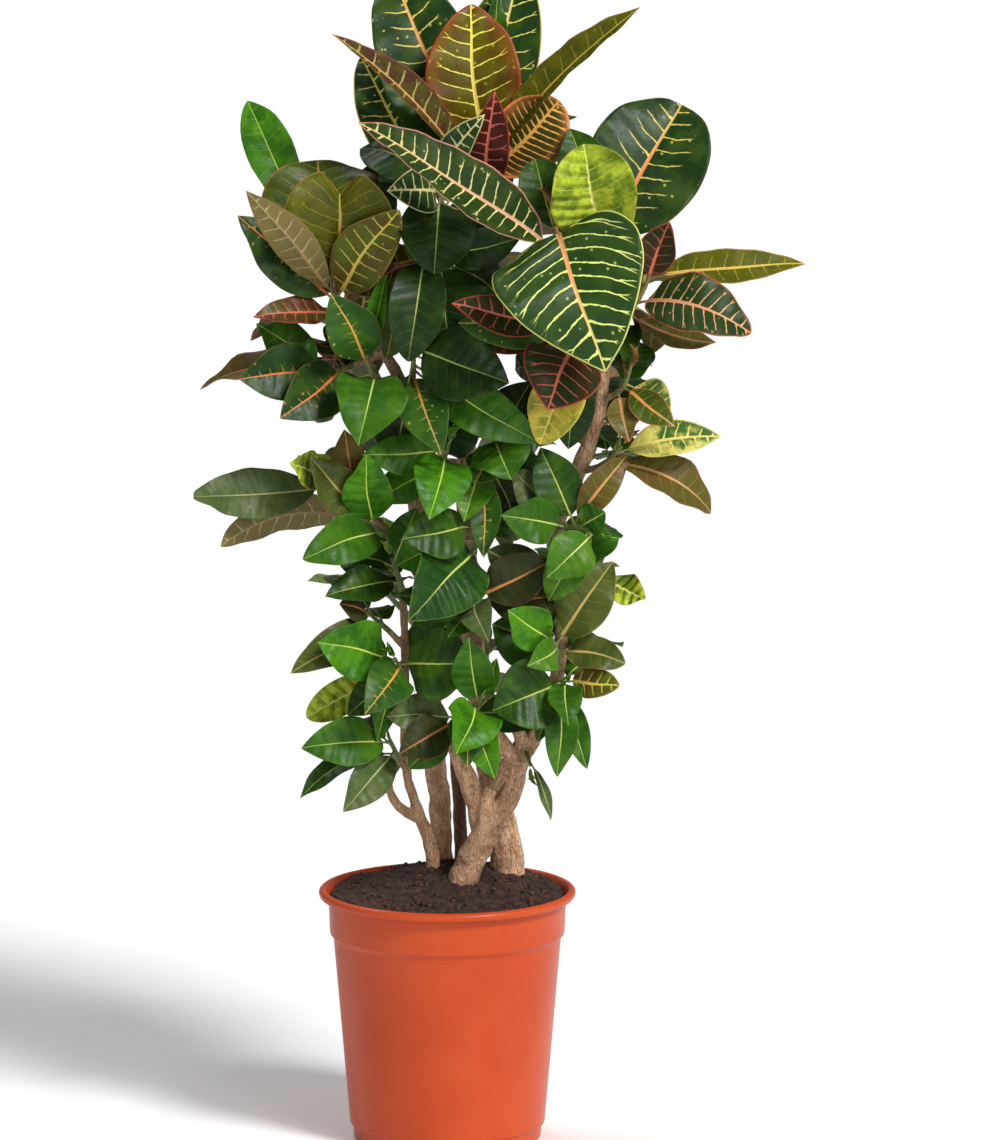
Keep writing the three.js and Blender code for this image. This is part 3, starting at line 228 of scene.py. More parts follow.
LOOKS = {
    "dark_orange": look((29, 55, 20), (48, 72, 20), (226, 205, 105), (228, 142, 84), (92, 84, 36),
        (112, 108, 62), kind=BROWN, vein_share=0.85, speck=0.5, rib_width=1.7, vein_width=0.75,
        vein_reach=0.62),
    "dark_yellow": look((31, 57, 22), (50, 77, 22), (226, 216, 110), (232, 204, 104), (214, 190, 92),
        (112, 112, 66), vein_share=1.0, speck=0.6, rib_width=1.5, edge_width=1.1, vein_width=0.7),
    "bronze": look((94, 88, 8), (88, 66, 10), (232, 220, 92), (238, 220, 104), (168, 66, 44), (138, 104, 66),
        vein_share=1.0, speck=0.3, rib_width=1.5, edge_width=1.4, vein_width=0.8),
    "bronze_plain": look((92, 80, 22), (112, 70, 26), (150, 122, 62), (212, 150, 88), (150, 84, 58),
        (124, 98, 64), kind=BROWN),
    "brown_dark": look((46, 56, 24), (56, 56, 26), (112, 92, 50), (214, 140, 84), (96, 66, 44), (88, 78, 50),
        kind=BROWN, rib_width=1.1, edge_width=0.7),
    "cream_dark": look((35, 57, 27), (55, 77, 34), (216, 212, 150), (224, 214, 146), (206, 200, 140),
        (112, 114, 80), speck=0.4),
    "dark_red": look((39, 44, 20), (59, 37, 20), (150, 80, 62), (208, 112, 84), (164, 60, 50), (112, 80, 58),
        vein_share=0.7, rib_width=1.3),
    "dark_redrib": look((31, 57, 22), (48, 74, 23), (186, 140, 84), (226, 116, 66), (96, 92, 40),
        (100, 104, 62), kind=BROWN, vein_share=0.6, speck=0.6, rib_width=1.0, edge_width=0.7, vein_reach=0.3),
    "forest": look((34, 64, 15), (54, 86, 17), (104, 134, 50), (186, 198, 92), (52, 84, 26), (104, 118, 72),
        kind=GREEN),
    "forest_dark": look((25, 46, 14), (38, 62, 16), (86, 112, 54), (168, 182, 98), (38, 62, 22),
        (88, 102, 64), kind=GREEN),
    "fresh": look((68, 124, 14), (46, 98, 14), (128, 178, 62), (204, 222, 92), (70, 128, 30), (128, 152, 76),
        kind=GREEN, rib_width=0.66),
    "giant": look((34, 62, 20), (46, 74, 22), (222, 232, 130), (230, 162, 104), (222, 226, 120),
        (112, 118, 66), vein_share=1.0, speck=0.4, rib_width=1.7, vein_reach=1.0),
    "ladder_pink": look((36, 58, 20), (52, 70, 22), (226, 214, 140), (222, 172, 138), (204, 138, 116),
        (118, 116, 72), speck=0.5, rib_width=1.5, spacing=0.72),
    "petra_green": look((34, 58, 24), (48, 64, 24), (224, 172, 122), (226, 150, 112), (184, 88, 62),
        (118, 96, 62), speck=0.3, rib_width=1.5, edge_width=1.25, spacing=0.8),
    "green": look((45, 88, 15), (64, 106, 18), (104, 148, 62), (200, 212, 108), (60, 104, 30), (112, 132, 76),
        kind=GREEN),
    "green_mid": look((62, 106, 18), (82, 122, 24), (130, 166, 80), (204, 212, 124), (78, 122, 40),
        (126, 146, 90), kind=GREEN),
    "green_orange": look((40, 78, 20), (58, 94, 22), (176, 168, 84), (230, 160, 78), (84, 100, 36),
        (112, 122, 70), kind=BROWN, vein_share=0.55, speck=0.55, rib_width=0.9, vein_reach=0.34),
    "grey": look((81, 96, 50), (66, 85, 42), (126, 138, 98), (178, 178, 118), (80, 92, 52), (130, 136, 98),
        kind=GREEN, speck=0.0, relief=0.5),
    "grey_brown": look((92, 78, 40), (80, 66, 34), (204, 194, 146), (190, 150, 104), (132, 100, 72),
        (124, 112, 66), speck=0.0, edge_width=0.9, vein_width=0.8),
    "lime": look((176, 193, 50), (110, 134, 28), (204, 216, 104), (232, 232, 130), (170, 150, 70),
        (168, 180, 92), kind=GREEN, vein_share=0.8, speck=0.0, rib_width=1.4, edge_width=0.9, relief=2.2),
    "olive": look((93, 93, 6), (78, 82, 6), (190, 182, 70), (226, 190, 92), (160, 120, 60), (128, 120, 66),
        vein_share=0.45, edge_width=1.0, vein_width=0.5),
    "olive_orange": look((74, 88, 20), (61, 79, 22), (186, 172, 76), (228, 150, 80), (172, 104, 62),
        (128, 118, 66), vein_share=0.4, edge_width=1.0, vein_width=0.5),
    "olive_pink": look((103, 99, 41), (90, 85, 35), (172, 138, 92), (206, 140, 106), (164, 104, 80),
        (128, 112, 72), kind=BROWN, speck=0.0, rib_width=1.5, edge_width=1.0),
    "olive_plain": look((79, 88, 33), (66, 79, 29), (132, 134, 76), (196, 170, 96), (130, 112, 66),
        (124, 122, 78), kind=BROWN, speck=0.0, edge_width=0.7, ruffle=2.6),
    "olive_purple": look((77, 70, 27), (70, 44, 29), (190, 168, 92), (216, 150, 96), (140, 70, 60),
        (112, 86, 62), vein_share=0.7, edge_width=1.1),
    "olive_rolled": look((88, 83, 30), (103, 75, 35), (168, 146, 80), (206, 156, 96), (150, 92, 66),
        (124, 104, 66), kind=BROWN, rib_width=1.4, edge_width=1.0),
    "olive_veined": look((84, 92, 18), (85, 72, 22), (206, 196, 84), (222, 196, 92), (150, 110, 60),
        (122, 112, 66), speck=0.3, edge_width=1.0, vein_width=0.8),
    "orange": look((58, 62, 20), (84, 62, 22), (236, 176, 84), (238, 178, 92), (226, 138, 72), (168, 122, 70),
        vein_share=1.0, speck=0.6, rib_width=1.8, edge_width=2.6, vein_width=2.1, spacing=0.55),
    "petra_red": look((39, 50, 20), (61, 40, 20), (202, 100, 82), (222, 124, 98), (168, 66, 54),
        (118, 82, 60), vein_share=0.8),
    "red": look((70, 22, 14), (80, 30, 15), (206, 106, 92), (222, 118, 98), (164, 56, 52), (132, 74, 60),
        speck=0.3, rib_width=1.6),
    "redbrown": look((85, 48, 24), (72, 68, 22), (172, 96, 66), (204, 108, 74), (138, 54, 42), (126, 84, 62),
        vein_share=0.8),
    "ribbed": look((28, 62, 16), (40, 78, 18), (70, 110, 50), (198, 208, 108), (110, 140, 66), (104, 124, 76),
        kind=BROWN, vein_share=0.4, speck=0.0, rib_width=0.8, edge_width=0.6, relief=1.4),
    "variegated": look((66, 102, 38), (214, 204, 104), (228, 218, 122), (234, 214, 116), (208, 190, 96),
        (168, 158, 92), speck=0.9, rib_width=1.6),
    "yellow": look((196, 180, 66), (128, 140, 50), (232, 216, 104), (236, 206, 100), (206, 178, 76),
        (176, 164, 88), vein_share=0.8, speck=0.3, rib_width=1.3, edge_width=1.0, vein_width=0.7),
}
# The looks that the leaves outside the front view are drawn from.
FILL_LOOKS = {
    "upper": ["forest_dark", "dark_yellow", "bronze_plain", "olive_veined", "redbrown", "dark_orange",
              "olive_plain"],
    "middle": ["forest", "green", "green_orange", "forest_dark", "olive_plain", "petra_red", "forest"],
    "lower": ["green", "forest", "fresh", "green_mid", "forest", "grey"],
}
# The colour of a shoot's green stem, by the same groups.
STEM_TONES = {"upper": (128, 112, 62), "middle": (118, 122, 62), "lower": (112, 132, 64)}

# Woody stems: rows of (across, up, depth, radius) from the root end upwards, and their cut stubs.
STEMS = {
    "stem_right": dict(
        path=[(6, 190, 12, 16), (15, 255, 6, 15), (33, 295, 2, 13.5), (50, 325, -6, 12), (65, 350, -14, 10.5),
              (73, 380, -24, 10), (88, 405, -28, 8), (101, 440, -28, 7.5), (111, 470, -28, 7.2),
              (115, 540, -28, 7), (109, 600, -26, 7.2), (115, 632, -26, 8.5), (128, 662, -28, 8.5),
              (143, 700, -30, 7.5), (153, 735, -30, 7), (155, 765, -30, 6.5), (153, 810, -28, 6),
              (151, 850, -24, 5.6), (153, 885, -22, 5)],
        stubs=[
            [(72, 378, -25, 9), (59, 391, -32, 8), (46, 414, -38, 6)],
            [(76, 386, -26, 8), (74, 402, -32, 7), (67, 418, -36, 6.4)],
            [(20, 280, 0, 11), (36, 312, -14, 9), (40, 340, -20, 8), (46, 352, -20, 6)],
            [(120, 645, -27, 3), (142, 645, -36, 2), (161, 642, -40, 1.2)],
        ],
    ),
    "stem_back": dict(
        path=[(61, 190, 52, 18), (61, 265, 46, 17.4), (56, 310, 42, 15.4), (47, 350, 38, 13.8),
              (33, 440, 34, 12), (23, 540, 32, 10.5), (18, 640, 32, 9.5), (23, 740, 32, 8.5),
              (33, 840, 30, 7.5), (36, 925, 30, 6)],
        stubs=[],
    ),
    "stem_middle": dict(
        path=[(-5, 200, 62, 11), (-6, 275, 60, 11), (-8, 340, 52, 11), (-12, 370, 48, 10.8),
              (-15, 420, 45, 10.2), (-19, 500, 42, 8.6), (-27, 580, 38, 8), (-33, 660, 30, 7.4),
              (-39, 730, 22, 7), (-55, 775, 14, 6), (-80, 800, 8, 5.2), (-102, 818, 0, 4.4)],
        stubs=[],
    ),
    "stem_dark": dict(
        path=[(14, 215, 84, 7.6), (14, 280, 82, 7.2), (12, 330, 80, 6.6), (8, 385, 80, 6)],
        stubs=[],
    ),
    "stem_left": dict(
        path=[(-12, 215, 36, 7.5), (-14, 270, 34, 7.2), (-19, 300, 30, 7), (-27, 320, 24, 6.4),
              (-34, 342, 14, 5), (-40, 364, 6, 4.8), (-43, 420, -1, 4.6), (-42, 480, -4, 4.4),
              (-43, 520, -5, 4), (-44, 548, -4, 3.6)],
        stubs=[
            [(-30, 320, 20, 5.4), (-48, 332, 12, 4.8), (-57, 346, 8, 4.4), (-59, 360, 6, 4)],
        ],
    ),
}


def shoot(wood, twig, path, fill, *leaves):
    """A leafy shoot, which starts where its twig ends, or its stem where it has no twig."""
    start = (twig or STEMS[wood]["path"])[-1][:3]
    return dict(wood=wood, twig=twig, path=[start, *path], leaves=leaves, fill=fill)


# Leafy shoots: the stem, the twig from it, the green shoot's path from the wood's end, the fill, and each
# leaf as (place along the shoot, across, up, depth of the tip, width, face, arch, fold, look, and form if not
# oval). The fill is of the leaves outside the front view: the count, first and last angle, length, width,
# rise at the foot and at the bud, face, and the looks drawn from.
SHOOTS = {
    "shoot_top": shoot(
        "stem_back", None, [(37, 960, 28), (36, 1005, 24)], (6, 15, 165, 150, 66, -30, 70, -0.4, "upper"),
        (0.75, -60, 1178, 105, 98, 0.8, 0.08, 0.15, "dark_orange", "full"),
        (0.85, 24, 1134, 30, 96, 0.9, 0.08, 0.15, "bronze", "full"),
        (0.9, 73, 1172, 95, 80, 0.8, 0.08, 0.2, "dark_yellow", "full"),
        (1, 52, 1150, 62, 32, 0.8, 0.05, 0.3, "forest"),
        (0.8, 191, 1127, -45, 48, 0.45, 0.028, 0.5, "olive"),
        (0.6, 112, 1036, 0, 76, 0.9, 0.06, 0.2, "orange", "broad"),
        (0.4, 48, 1042, -45, 46, 0.9, 0.06, 0.2, "red"),
        (0.5, -112, 1101, -50, 46, 0.4, 0.05, 0.5, "olive_purple"),
        (0.5, -72, 1075, 36, 44, 0.6, 0.06, 0.2, "forest"),
    ),
    "shoot_top_low": shoot(
        "stem_back", [(34, 872, 29, 4.4), (14, 904, 8, 4), (1, 920, -2, 3.6)],
        [(-7, 940, -11), (-13, 961, -17)], (2, 60, 130, 125, 56, -30, 30, 0.5, "upper"),
        (0.1, -88, 1088, 95, 66, 0.8, 0.03, 0.15, "dark_yellow", "full"),
        (0.8, 37, 1020, -62, 34, 0.7, 0.1, 0.25, "cream_dark"),
        (0.7, -58, 945, -70, 50, 0.8, 0.18, 0.25, "cream_dark"),
        (0.5, -12, 862, -66, 80, 0.9, 0.2, 0.2, "forest_dark", "full"),
        (0.3, 42, 914, -20, 46, 0.9, 0.1, 0.2, "forest_dark"),
    ),
    "shoot_centre_high": shoot(
        "stem_back", [(31, 835, 26, 4.4), (10, 862, 0, 4), (0, 872, -8, 3.6)],
        [(-14, 883, -17), (-28, 895, -24)], (1, 150, 200, 110, 52, -40, 20, 0.7, "upper"),
        (0.3, 2, 793, -48, 100, 0.8, 0.2, 0.15, "forest_dark", "full"),
        (0.8, -38, 776, -62, 60, 0.9, 0.22, 0.3, "forest_dark", "full"),
        (0.9, -62, 776, -30, 44, 0.9, 0.16, 0.2, "olive_plain"),
        (0.6, 74, 899, -40, 44, 0.9, 0.1, 0.2, "forest_dark"),
        (0.2, 56, 838, -38, 54, 0.6, 0.2, 0.2, "forest_dark"),
        (0.6, 34, 766, 2, 58, 0.8, 0.2, 0.2, "forest_dark"),
    ),
    "shoot_right_inner": shoot(
        "stem_right", [(151, 850, -24, 4), (128, 866, -38, 3.8), (110, 876, -48, 3.4)],
        [(109, 897, -58), (106, 917, -64)], (2, 60, 130, 110, 54, -30, 40, 0.6, "upper"),
        (0.1, -87, 1012, -105, 66, 0.6, 0.09, 0.5, "ladder_pink"),
        (0.6, 88, 977, -44, 50, 0.8, 0.06, 0.2, "forest", "spoon"),
        (0.8, 157, 765, -146, 156, 0.8, 0.3, 0.16, "giant", "heart"),
    ),
    "shoot_right_top": shoot(
        "stem_right", None, [(156, 906, -24), (160, 930, -26)],
        (5, 35, 150, 120, 62, -50, 50, -0.4, "upper"),
        (0.2, 136, 990, -78, 96, 0.85, 0.1, 0.4, "lime", "broad"),
        (0.1, 234, 1034, 25, 118, 0.8, 0.06, 0.12, "dark_orange", "broad"),
        (0.9, 122, 1009, 20, 58, 0.7, 0.06, 0.2, "forest"),
    ),
    "shoot_right_low": shoot(
        "stem_right", [(153, 795, -29, 4), (167, 814, -32, 3.8), (176, 822, -34, 3.4)],
        [(191, 840, -39), (204, 866, -43)], (3, 50, 130, 115, 54, -50, 15, 0.4, "upper"),
        (1, 358, 875, -20, 40, 0.6, 0.07, 0.25, "olive", "heart"),
        (0.3, 304, 805, -85, 66, 0.6, 0.22, 0.2, "petra_green", "full"),
        (0.1, 268, 796, -45, 32, 0.5, -0.15, 0.2, "olive_pink"),
        (0.9, 221, 915, -50, 40, 0.7, 0.05, 0.2, "dark_red"),
    ),
    "shoot_left_top": shoot(
        "stem_middle", None, [(-110, 840, -4), (-115, 866, -8)],
        (5, 40, 150, 130, 60, -50, 50, -0.3, "upper"),
        (0.9, -200, 1041, 75, 50, 0.7, 0.04, 0.2, "fresh", "paddle"),
        (0.9, -129, 980, 40, 122, 0.9, 0.08, 0.15, "olive_orange", "spoon"),
        (0.8, -104, 970, -40, 114, 0.9, 0.1, 0.25, "olive", "spoon"),
        (0.7, -198, 946, -104, 42, -0.9, -0.05, 0.2, "grey_brown"),
        (0.5, -206, 922, -30, 58, 0.7, 0.04, 0.2, "dark_redrib"),
        (0.6, -41, 926, -62, 60, 0.8, 0.08, 0.25, "olive_veined", "full"),
        (0.3, -42, 878, -70, 26, 0.3, 0.06, 0.3, "redbrown"),
        (0.2, -191, 823, -60, 38, 0.5, 0.05, 0.3, "redbrown"),
        (0.4, -55, 884, -28, 22, 0.6, 0.04, 0.3, "redbrown"),
        (0.8, -60, 982, 62, 66, 0.7, 0.08, 0.2, "forest"),
    ),
    "shoot_left_mid_a": shoot(
        "stem_middle", [(-42, 738, 20, 4), (-58, 748, 0, 3.8), (-66, 754, -10, 3.4)],
        [(-75, 766, -22), (-82, 785, -30)], (2, 95, 130, 110, 50, -40, 0, 0.7, "middle"),
        (0.9, -114, 843, -62, 56, 0.8, 0.08, 0.25, "green_orange"),
        (0.5, -87, 693, -105, 76, 0.9, 0.24, 0.2, "green"),
        (1, -59, 850, -52, 28, 0.5, 0.1, 0.7, "fresh"),
    ),
    "shoot_left_mid_b": shoot(
        "stem_middle", [(-64, 786, 12, 4), (-84, 778, 10, 3.8), (-94, 774, 8, 3.4)],
        [(-108, 769, 0), (-123, 771, -8)], (4, 70, 130, 115, 54, -15, 40, -0.3, "middle"),
        (0.6, -165, 720, -75, 60, 0.85, 0.12, 0.2, "dark_redrib"),
        (0.8, -204, 760, -48, 60, 0.8, 0, 0.2, "dark_redrib"),
        (0.9, -251, 755, 12, 46, 0.35, 0.09, 0.3, "bronze_plain"),
        (1, -190, 816, -16, 46, 0.6, 0.02, 0.2, "green"),
    ),
    "shoot_centre_top": shoot(
        "stem_middle", [(-38, 728, 22, 4), (-35, 748, -8, 3.8), (-34, 758, -20, 3.4)],
        [(-33, 774, -36), (-33, 795, -47)], (2, -10, 60, 100, 50, -50, 0, 0.8, "middle"),
        (0.8, 63, 755, -92, 76, 0.8, 0.14, 0.15, "forest_dark"),
        (0.1, -5, 683, -96, 52, 0.9, 0.2, 0.2, "green_orange"),
        (0.3, 93, 695, -58, 54, 0.8, 0.1, 0.2, "green"),
        (0, -88, 686, -62, 36, 0.6, 0.14, 0.2, "grey"),
        (0.5, -58, 668, -6, 50, 0.8, 0.12, 0.2, "forest_dark"),
    ),
    "shoot_centre_right": shoot(
        "stem_right", [(154, 752, -30, 4), (142, 768, -44, 3.8), (135, 776, -50, 3.4)],
        [(124, 793, -59), (111, 812, -65)], (2, 120, 190, 100, 48, -40, 30, 0.8, "middle"),
        (0.9, 5, 834, -98, 42, 0.7, 0.1, 0.25, "petra_red"),
        (0.6, 14, 795, -66, 34, 0.6, 0.08, 0.2, "redbrown"),
        (0.4, 100, 728, -112, 84, 0.95, 0.2, 0.2, "petra_red"),
        (0, 92, 694, -78, 56, 0.8, 0.12, 0.25, "yellow", "full"),
        (0.2, 121, 690, -50, 46, 0.8, 0.1, 0.2, "forest_dark"),
    ),
    "shoot_centre_mid_a": shoot(
        "stem_back", [(20, 650, 30, 4), (28, 664, 6, 3.8), (32, 671, -6, 3.4)],
        [(41, 685, -20), (50, 704, -31)], (2, 0, 60, 95, 46, -45, 20, 0.8, "middle"),
        (0.9, 64, 660, -88, 66, 0.9, 0.16, 0.15, "green"),
        (0.5, 6, 655, -84, 40, 0.8, 0.12, 0.25, "green_orange"),
        (0.1, 17, 618, -72, 42, 0.9, 0.14, 0.2, "green_mid"),
        (0, 37, 582, -48, 34, 0.8, 0.12, 0.2, "green_orange"),
        (0.7, 84, 758, -30, 56, 0.8, 0.08, 0.2, "forest_dark"),
        (0.3, 70, 610, -4, 50, 0.8, 0.12, 0.2, "forest_dark"),
    ),
    "shoot_centre_mid_b": shoot(
        "stem_middle", [(-33, 650, 31, 4), (-18, 664, 4, 3.8), (-10, 670, -8, 3.4)],
        [(-2, 683, -26), (3, 698, -42)], (2, 140, 200, 90, 44, -50, 10, 0.8, "lower"),
        (0.7, -17, 620, -110, 60, 0.95, 0.2, 0.15, "fresh"),
        (1, 13, 712, -74, 16, 0.6, 0.05, 0.7, "fresh"),
        (0.6, 26, 742, -62, 50, 0.8, 0.06, 0.2, "forest_dark"),
    ),
    "shoot_centre_low": shoot(
        "stem_back", [(21, 562, 30, 4), (25, 580, 2, 3.8), (27, 587, -12, 3.4)],
        [(28, 601, -30), (24, 618, -45)], (2, -10, 60, 90, 46, -40, 20, 0.8, "lower"),
        (0.9, -45, 600, -100, 56, 0.75, 0.12, 0.15, "forest"),
        (0.4, -50, 574, -66, 58, 0.6, 0.14, 0.3, "fresh"),
        (0.1, -38, 519, -112, 78, 0.95, 0.2, 0.15, "ribbed"),
    ),
    "shoot_heart": shoot(
        "stem_back", [(23, 515, 30, 4), (26, 526, 2, 3.8), (27, 530, -12, 3.4)],
        [(29, 536, -32), (30, 544, -51)], (2, 150, 210, 85, 42, -40, 20, 0.8, "lower"),
        (0.9, 106, 580, -66, 54, 0.8, 0.08, 0.2, "brown_dark"),
        (0.8, 115, 544, -88, 46, 0.8, 0.1, 0.2, "brown_dark"),
        (0.7, 41, 500, -100, 36, 0.9, 0.2, 0.2, "grey"),
        (0.4, 1, 503, -76, 34, 0.8, 0.18, 0.2, "green"),
    ),
    "shoot_right_mid_a": shoot(
        "stem_right", [(154, 738, -30, 4), (164, 743, -41, 3.6), (168, 745, -46, 3.2)],
        [(176, 753, -55), (182, 768, -62)], (2, 55, 110, 105, 48, -15, 50, 0.3, "middle"),
        (0.7, 223, 728, -62, 36, 0.6, 0.1, 0.2, "variegated"),
        (0.4, 226, 712, -92, 34, 0.7, 0.12, 0.2, "olive_orange"),
        (0.2, 181, 697, -92, 34, 0.7, 0.1, 0.4, "olive_pink"),
        (0.9, 193, 797, -30, 42, 0.7, 0.06, 0.2, "forest"),
    ),
    "shoot_right_mid_b": shoot(
        "stem_right", [(132, 668, -29, 4), (147, 671, -38, 3.6), (152, 673, -42, 3.2)],
        [(163, 681, -50), (174, 693, -56)], (3, 40, 110, 110, 50, -15, 40, 0.3, "middle"),
        (0.8, 273, 703, -62, 40, 0.6, 0.1, 0.25, "variegated"),
        (0.5, 266, 627, -40, 50, 0.5, 0.18, 0.25, "olive_rolled", "full"),
        (0.7, 173, 702, -14, 40, 0.6, 0.06, 0.2, "fresh"),
    ),
    "shoot_right_knee": shoot(
        "stem_right", [(110, 606, -27, 4), (113, 611, -37, 3.6), (114, 613, -41, 3.2)],
        [(130, 613, -54), (151, 607, -66)], (1, 55, 110, 80, 44, -50, 20, 0.5, "lower"),
        (0.1, 65, 670, -72, 46, 0.75, 0.08, 0.2, "grey"),
        (0, 55, 624, -82, 48, 0.8, 0.1, 0.2, "green"),
        (0.3, 157, 627, -78, 36, 0.8, 0.06, 0.2, "green", "full"),
        (0.2, 93, 692, -48, 50, 0.8, 0.08, 0.2, "forest"),
        (0.1, 190, 686, -50, 34, 0.8, 0.2, 0.2, "olive_rolled"),
        (1, 99, 562, -92, 50, 0.95, 0.2, 0.15, "green_mid"),
        (0.7, 100, 538, -72, 42, 0.9, 0.14, 0.2, "green_mid"),
    ),
    "shoot_left_low_a": shoot(
        "stem_middle", [(-26, 560, 38, 4.2), (-62, 612, 22, 4), (-94, 638, 4, 3.8), (-104, 645, -3, 3.4)],
        [(-118, 656, -11), (-132, 668, -15)], (1, 70, 125, 105, 50, -15, 45, -0.2, "lower"),
        (0.8, -252, 645, -40, 54, 0.7, -0.12, 0.2, "grey", "full"),
        (0.9, -154, 676, -56, 42, 0.7, 0.02, 0.3, "lime"),
        (1, -134, 686, -34, 34, 0.6, 0.05, 0.3, "lime"),
    ),
    "shoot_left_low_b": shoot(
        "stem_middle", [(-27, 578, 36, 4), (-50, 598, 6, 3.8), (-62, 606, -6, 3.4)],
        [(-76, 615, -18), (-90, 629, -28)], (1, 90, 150, 100, 46, -50, 20, 0.5, "lower"),
        (0.7, -228, 595, -40, 54, -0.6, 0.19, 0.15, "grey_brown", "full"),
        (0.8, -135, 682, -74, 46, 0.7, 0.08, 0.2, "olive_plain"),
        (0.9, -102, 710, -34, 42, 0.8, 0.06, 0.2, "bronze_plain"),
        (0.6, -80, 684, -66, 52, 0.9, 0.06, 0.2, "fresh"),
        (0.3, -142, 581, -92, 50, 0.8, 0.14, 0.2, "green", "full"),
    ),
    "shoot_left_upright": shoot(
        "stem_left", None, [(-49, 565, -10), (-55, 582, -15)], (3, 70, 145, 95, 46, -15, 40, 0.3, "lower"),
        (0.5, -121, 544, -60, 42, 0.6, 0.12, 0.2, "forest"),
        (0.9, -107, 588, 22, 52, 0.5, 0.08, 0.2, "forest"),
        (1, -30, 632, -28, 34, 0.8, 0.05, 0.3, "green"),
    ),
    "shoot_left_side": shoot(
        "stem_left", [(-42, 492, -4, 3.6), (-55, 506, -12, 3.4), (-60, 511, -16, 3)],
        [(-69, 519, -22), (-80, 528, -28)], (2, 75, 145, 95, 44, -15, 30, 0.2, "lower"),
        (0.9, -107, 536, -54, 36, 0.6, 0.08, 0.2, "brown_dark"),
        (0.5, -156, 467, -86, 42, 0.7, 0.16, 0.2, "olive_plain"),
    ),
    "shoot_left_front": shoot(
        "stem_left", [(-42, 458, -3, 3.6), (-43, 464, -12, 3.4), (-44, 467, -17, 3)],
        [(-47, 473, -31), (-52, 482, -45)], (2, 95, 150, 85, 42, -40, 20, 0.5, "lower"),
        (0.9, -127, 498, -92, 64, 0.85, 0.04, 0.25, "fresh"),
        (0.5, -81, 427, -112, 50, 0.9, 0.2, 0.2, "green_orange"),
        (0.3, -141, 423, -50, 38, 0.7, -0.04, 0.25, "lime", "spoon"),
        (0.1, -100, 424, -40, 38, 0.7, 0.14, 0.2, "forest"),
        (0.2, -70, 398, -62, 28, 0.8, 0.16, 0.3, "green"),
        (0.7, 30, 477, -72, 76, 0.75, 0.08, 0.15, "forest"),
    ),
    "shoot_left_foot": shoot(
        "stem_left", [(-40, 368, 5, 3.6), (-46, 376, -6, 3.4), (-48, 380, -12, 3)],
        [(-53, 391, -26), (-59, 405, -38)], (3, 75, 145, 85, 40, -35, 40, 0.2, "lower"),
        (0.8, -145, 393, -82, 52, 0.7, 0.12, 0.2, "green"),
        (0.3, -147, 342, -70, 32, 0.35, 0.16, 0.25, "forest"),
        (0.5, -103, 329, -100, 42, 0.9, 0.12, 0.2, "grey"),
    ),
    "shoot_front_low": shoot(
        "stem_right", [(37, 298, 2, 11), (30, 332, -10, 10.5), (19, 364, -18, 9.4), (8, 392, -24, 7.6),
         (3, 412, -32, 5.2)],
        [(14, 424, -43), (27, 433, -53), (36, 440, -61)], (1, 0, 40, 85, 40, -20, 10, 0.6, "lower"),
        (0.1, -48, 386, -78, 46, 0.8, 0.14, 0.15, "brown_dark"),
        (0, -39, 371, -52, 38, 0.8, 0.12, 0.2, "green"),
        (0.3, -60, 424, -62, 44, 0.8, 0.03, 0.2, "grey"),
        (0.9, 10, 388, -126, 58, 0.95, 0.18, 0.3, "fresh"),
        (0.7, 21, 375, -112, 42, 0.95, 0.16, 0.2, "green_orange"),
        (0.8, 48, 362, -104, 36, 0.9, 0.16, 0.2, "fresh"),
        (0.9, 22, 503, -96, 44, 0.9, 0.08, 0.2, "green"),
        (1, 50, 482, -88, 20, 0.8, 0.05, 0.5, "fresh"),
    ),
    "shoot_right_foot_a": shoot(
        "stem_right", [(111, 476, -28, 4), (111, 483, -38, 3.6), (111, 485, -43, 3.2)],
        [(109, 491, -55), (105, 502, -68)], (3, 50, 115, 90, 44, -15, 30, 0.3, "lower"),
        (0.1, 45, 516, -52, 64, 0.8, 0.1, 0.15, "forest"),
        (0.9, 61, 530, -100, 48, 0.9, 0.1, 0.2, "fresh"),
        (0.6, 81, 475, -114, 34, 0.9, 0.16, 0.2, "green_mid"),
        (0.8, 166, 579, -66, 56, 0.8, 0.08, 0.15, "olive_plain"),
        (0.4, 178, 478, -84, 38, 0.6, 0.1, 0.2, "olive_plain", "full"),
    ),
    "shoot_right_foot_b": shoot(
        "stem_right", [(104, 448, -28, 4), (109, 454, -38, 3.6), (110, 455, -42, 3.2)],
        [(115, 458, -54), (118, 460, -68)], (2, 55, 115, 80, 38, -10, 30, 0.4, "lower"),
        (0.6, 45, 430, -98, 74, 0.85, 0.16, 0.15, "forest"),
        (0.8, 172, 455, -98, 34, 0.7, 0.08, 0.25, "olive_veined", "full"),
        (0.9, 121, 416, -114, 36, 0.9, 0.18, 0.2, "green"),
        (0.5, 110, 363, -92, 36, 0.8, 0.14, 0.3, "green"),
        (0.4, 140, 371, -84, 30, 0.85, 0.1, 0.25, "green"),
        (0.1, 90, 398, -54, 24, 0.7, 0.12, 0.3, "forest"),
    ),
    "shoot_hanging": shoot(
        "stem_right", [(77, 388, -26, 3.4), (79, 386, -36, 2.8), (80, 385, -39, 2.4)],
        [(82, 380, -47), (83, 374, -51)], (0, 0, 0, 0, 0, 0, 0, 0, "lower"),
        (0.9, 105, 319, -66, 13, 0.3, 0.12, 0.3, "grey"),
    ),
    "shoot_right_side": shoot(
        "stem_right", [(114, 545, -28, 4), (123, 551, -19, 3.6), (127, 553, -15, 3.2)],
        [(141, 559, -4), (156, 568, 5)], (3, 60, 130, 85, 48, -15, 50, 0, "lower"),
        (0.9, 198, 541, -30, 36, 0.6, -0.06, 0.25, "lime"),
    ),
    "shoot_back_low": shoot(
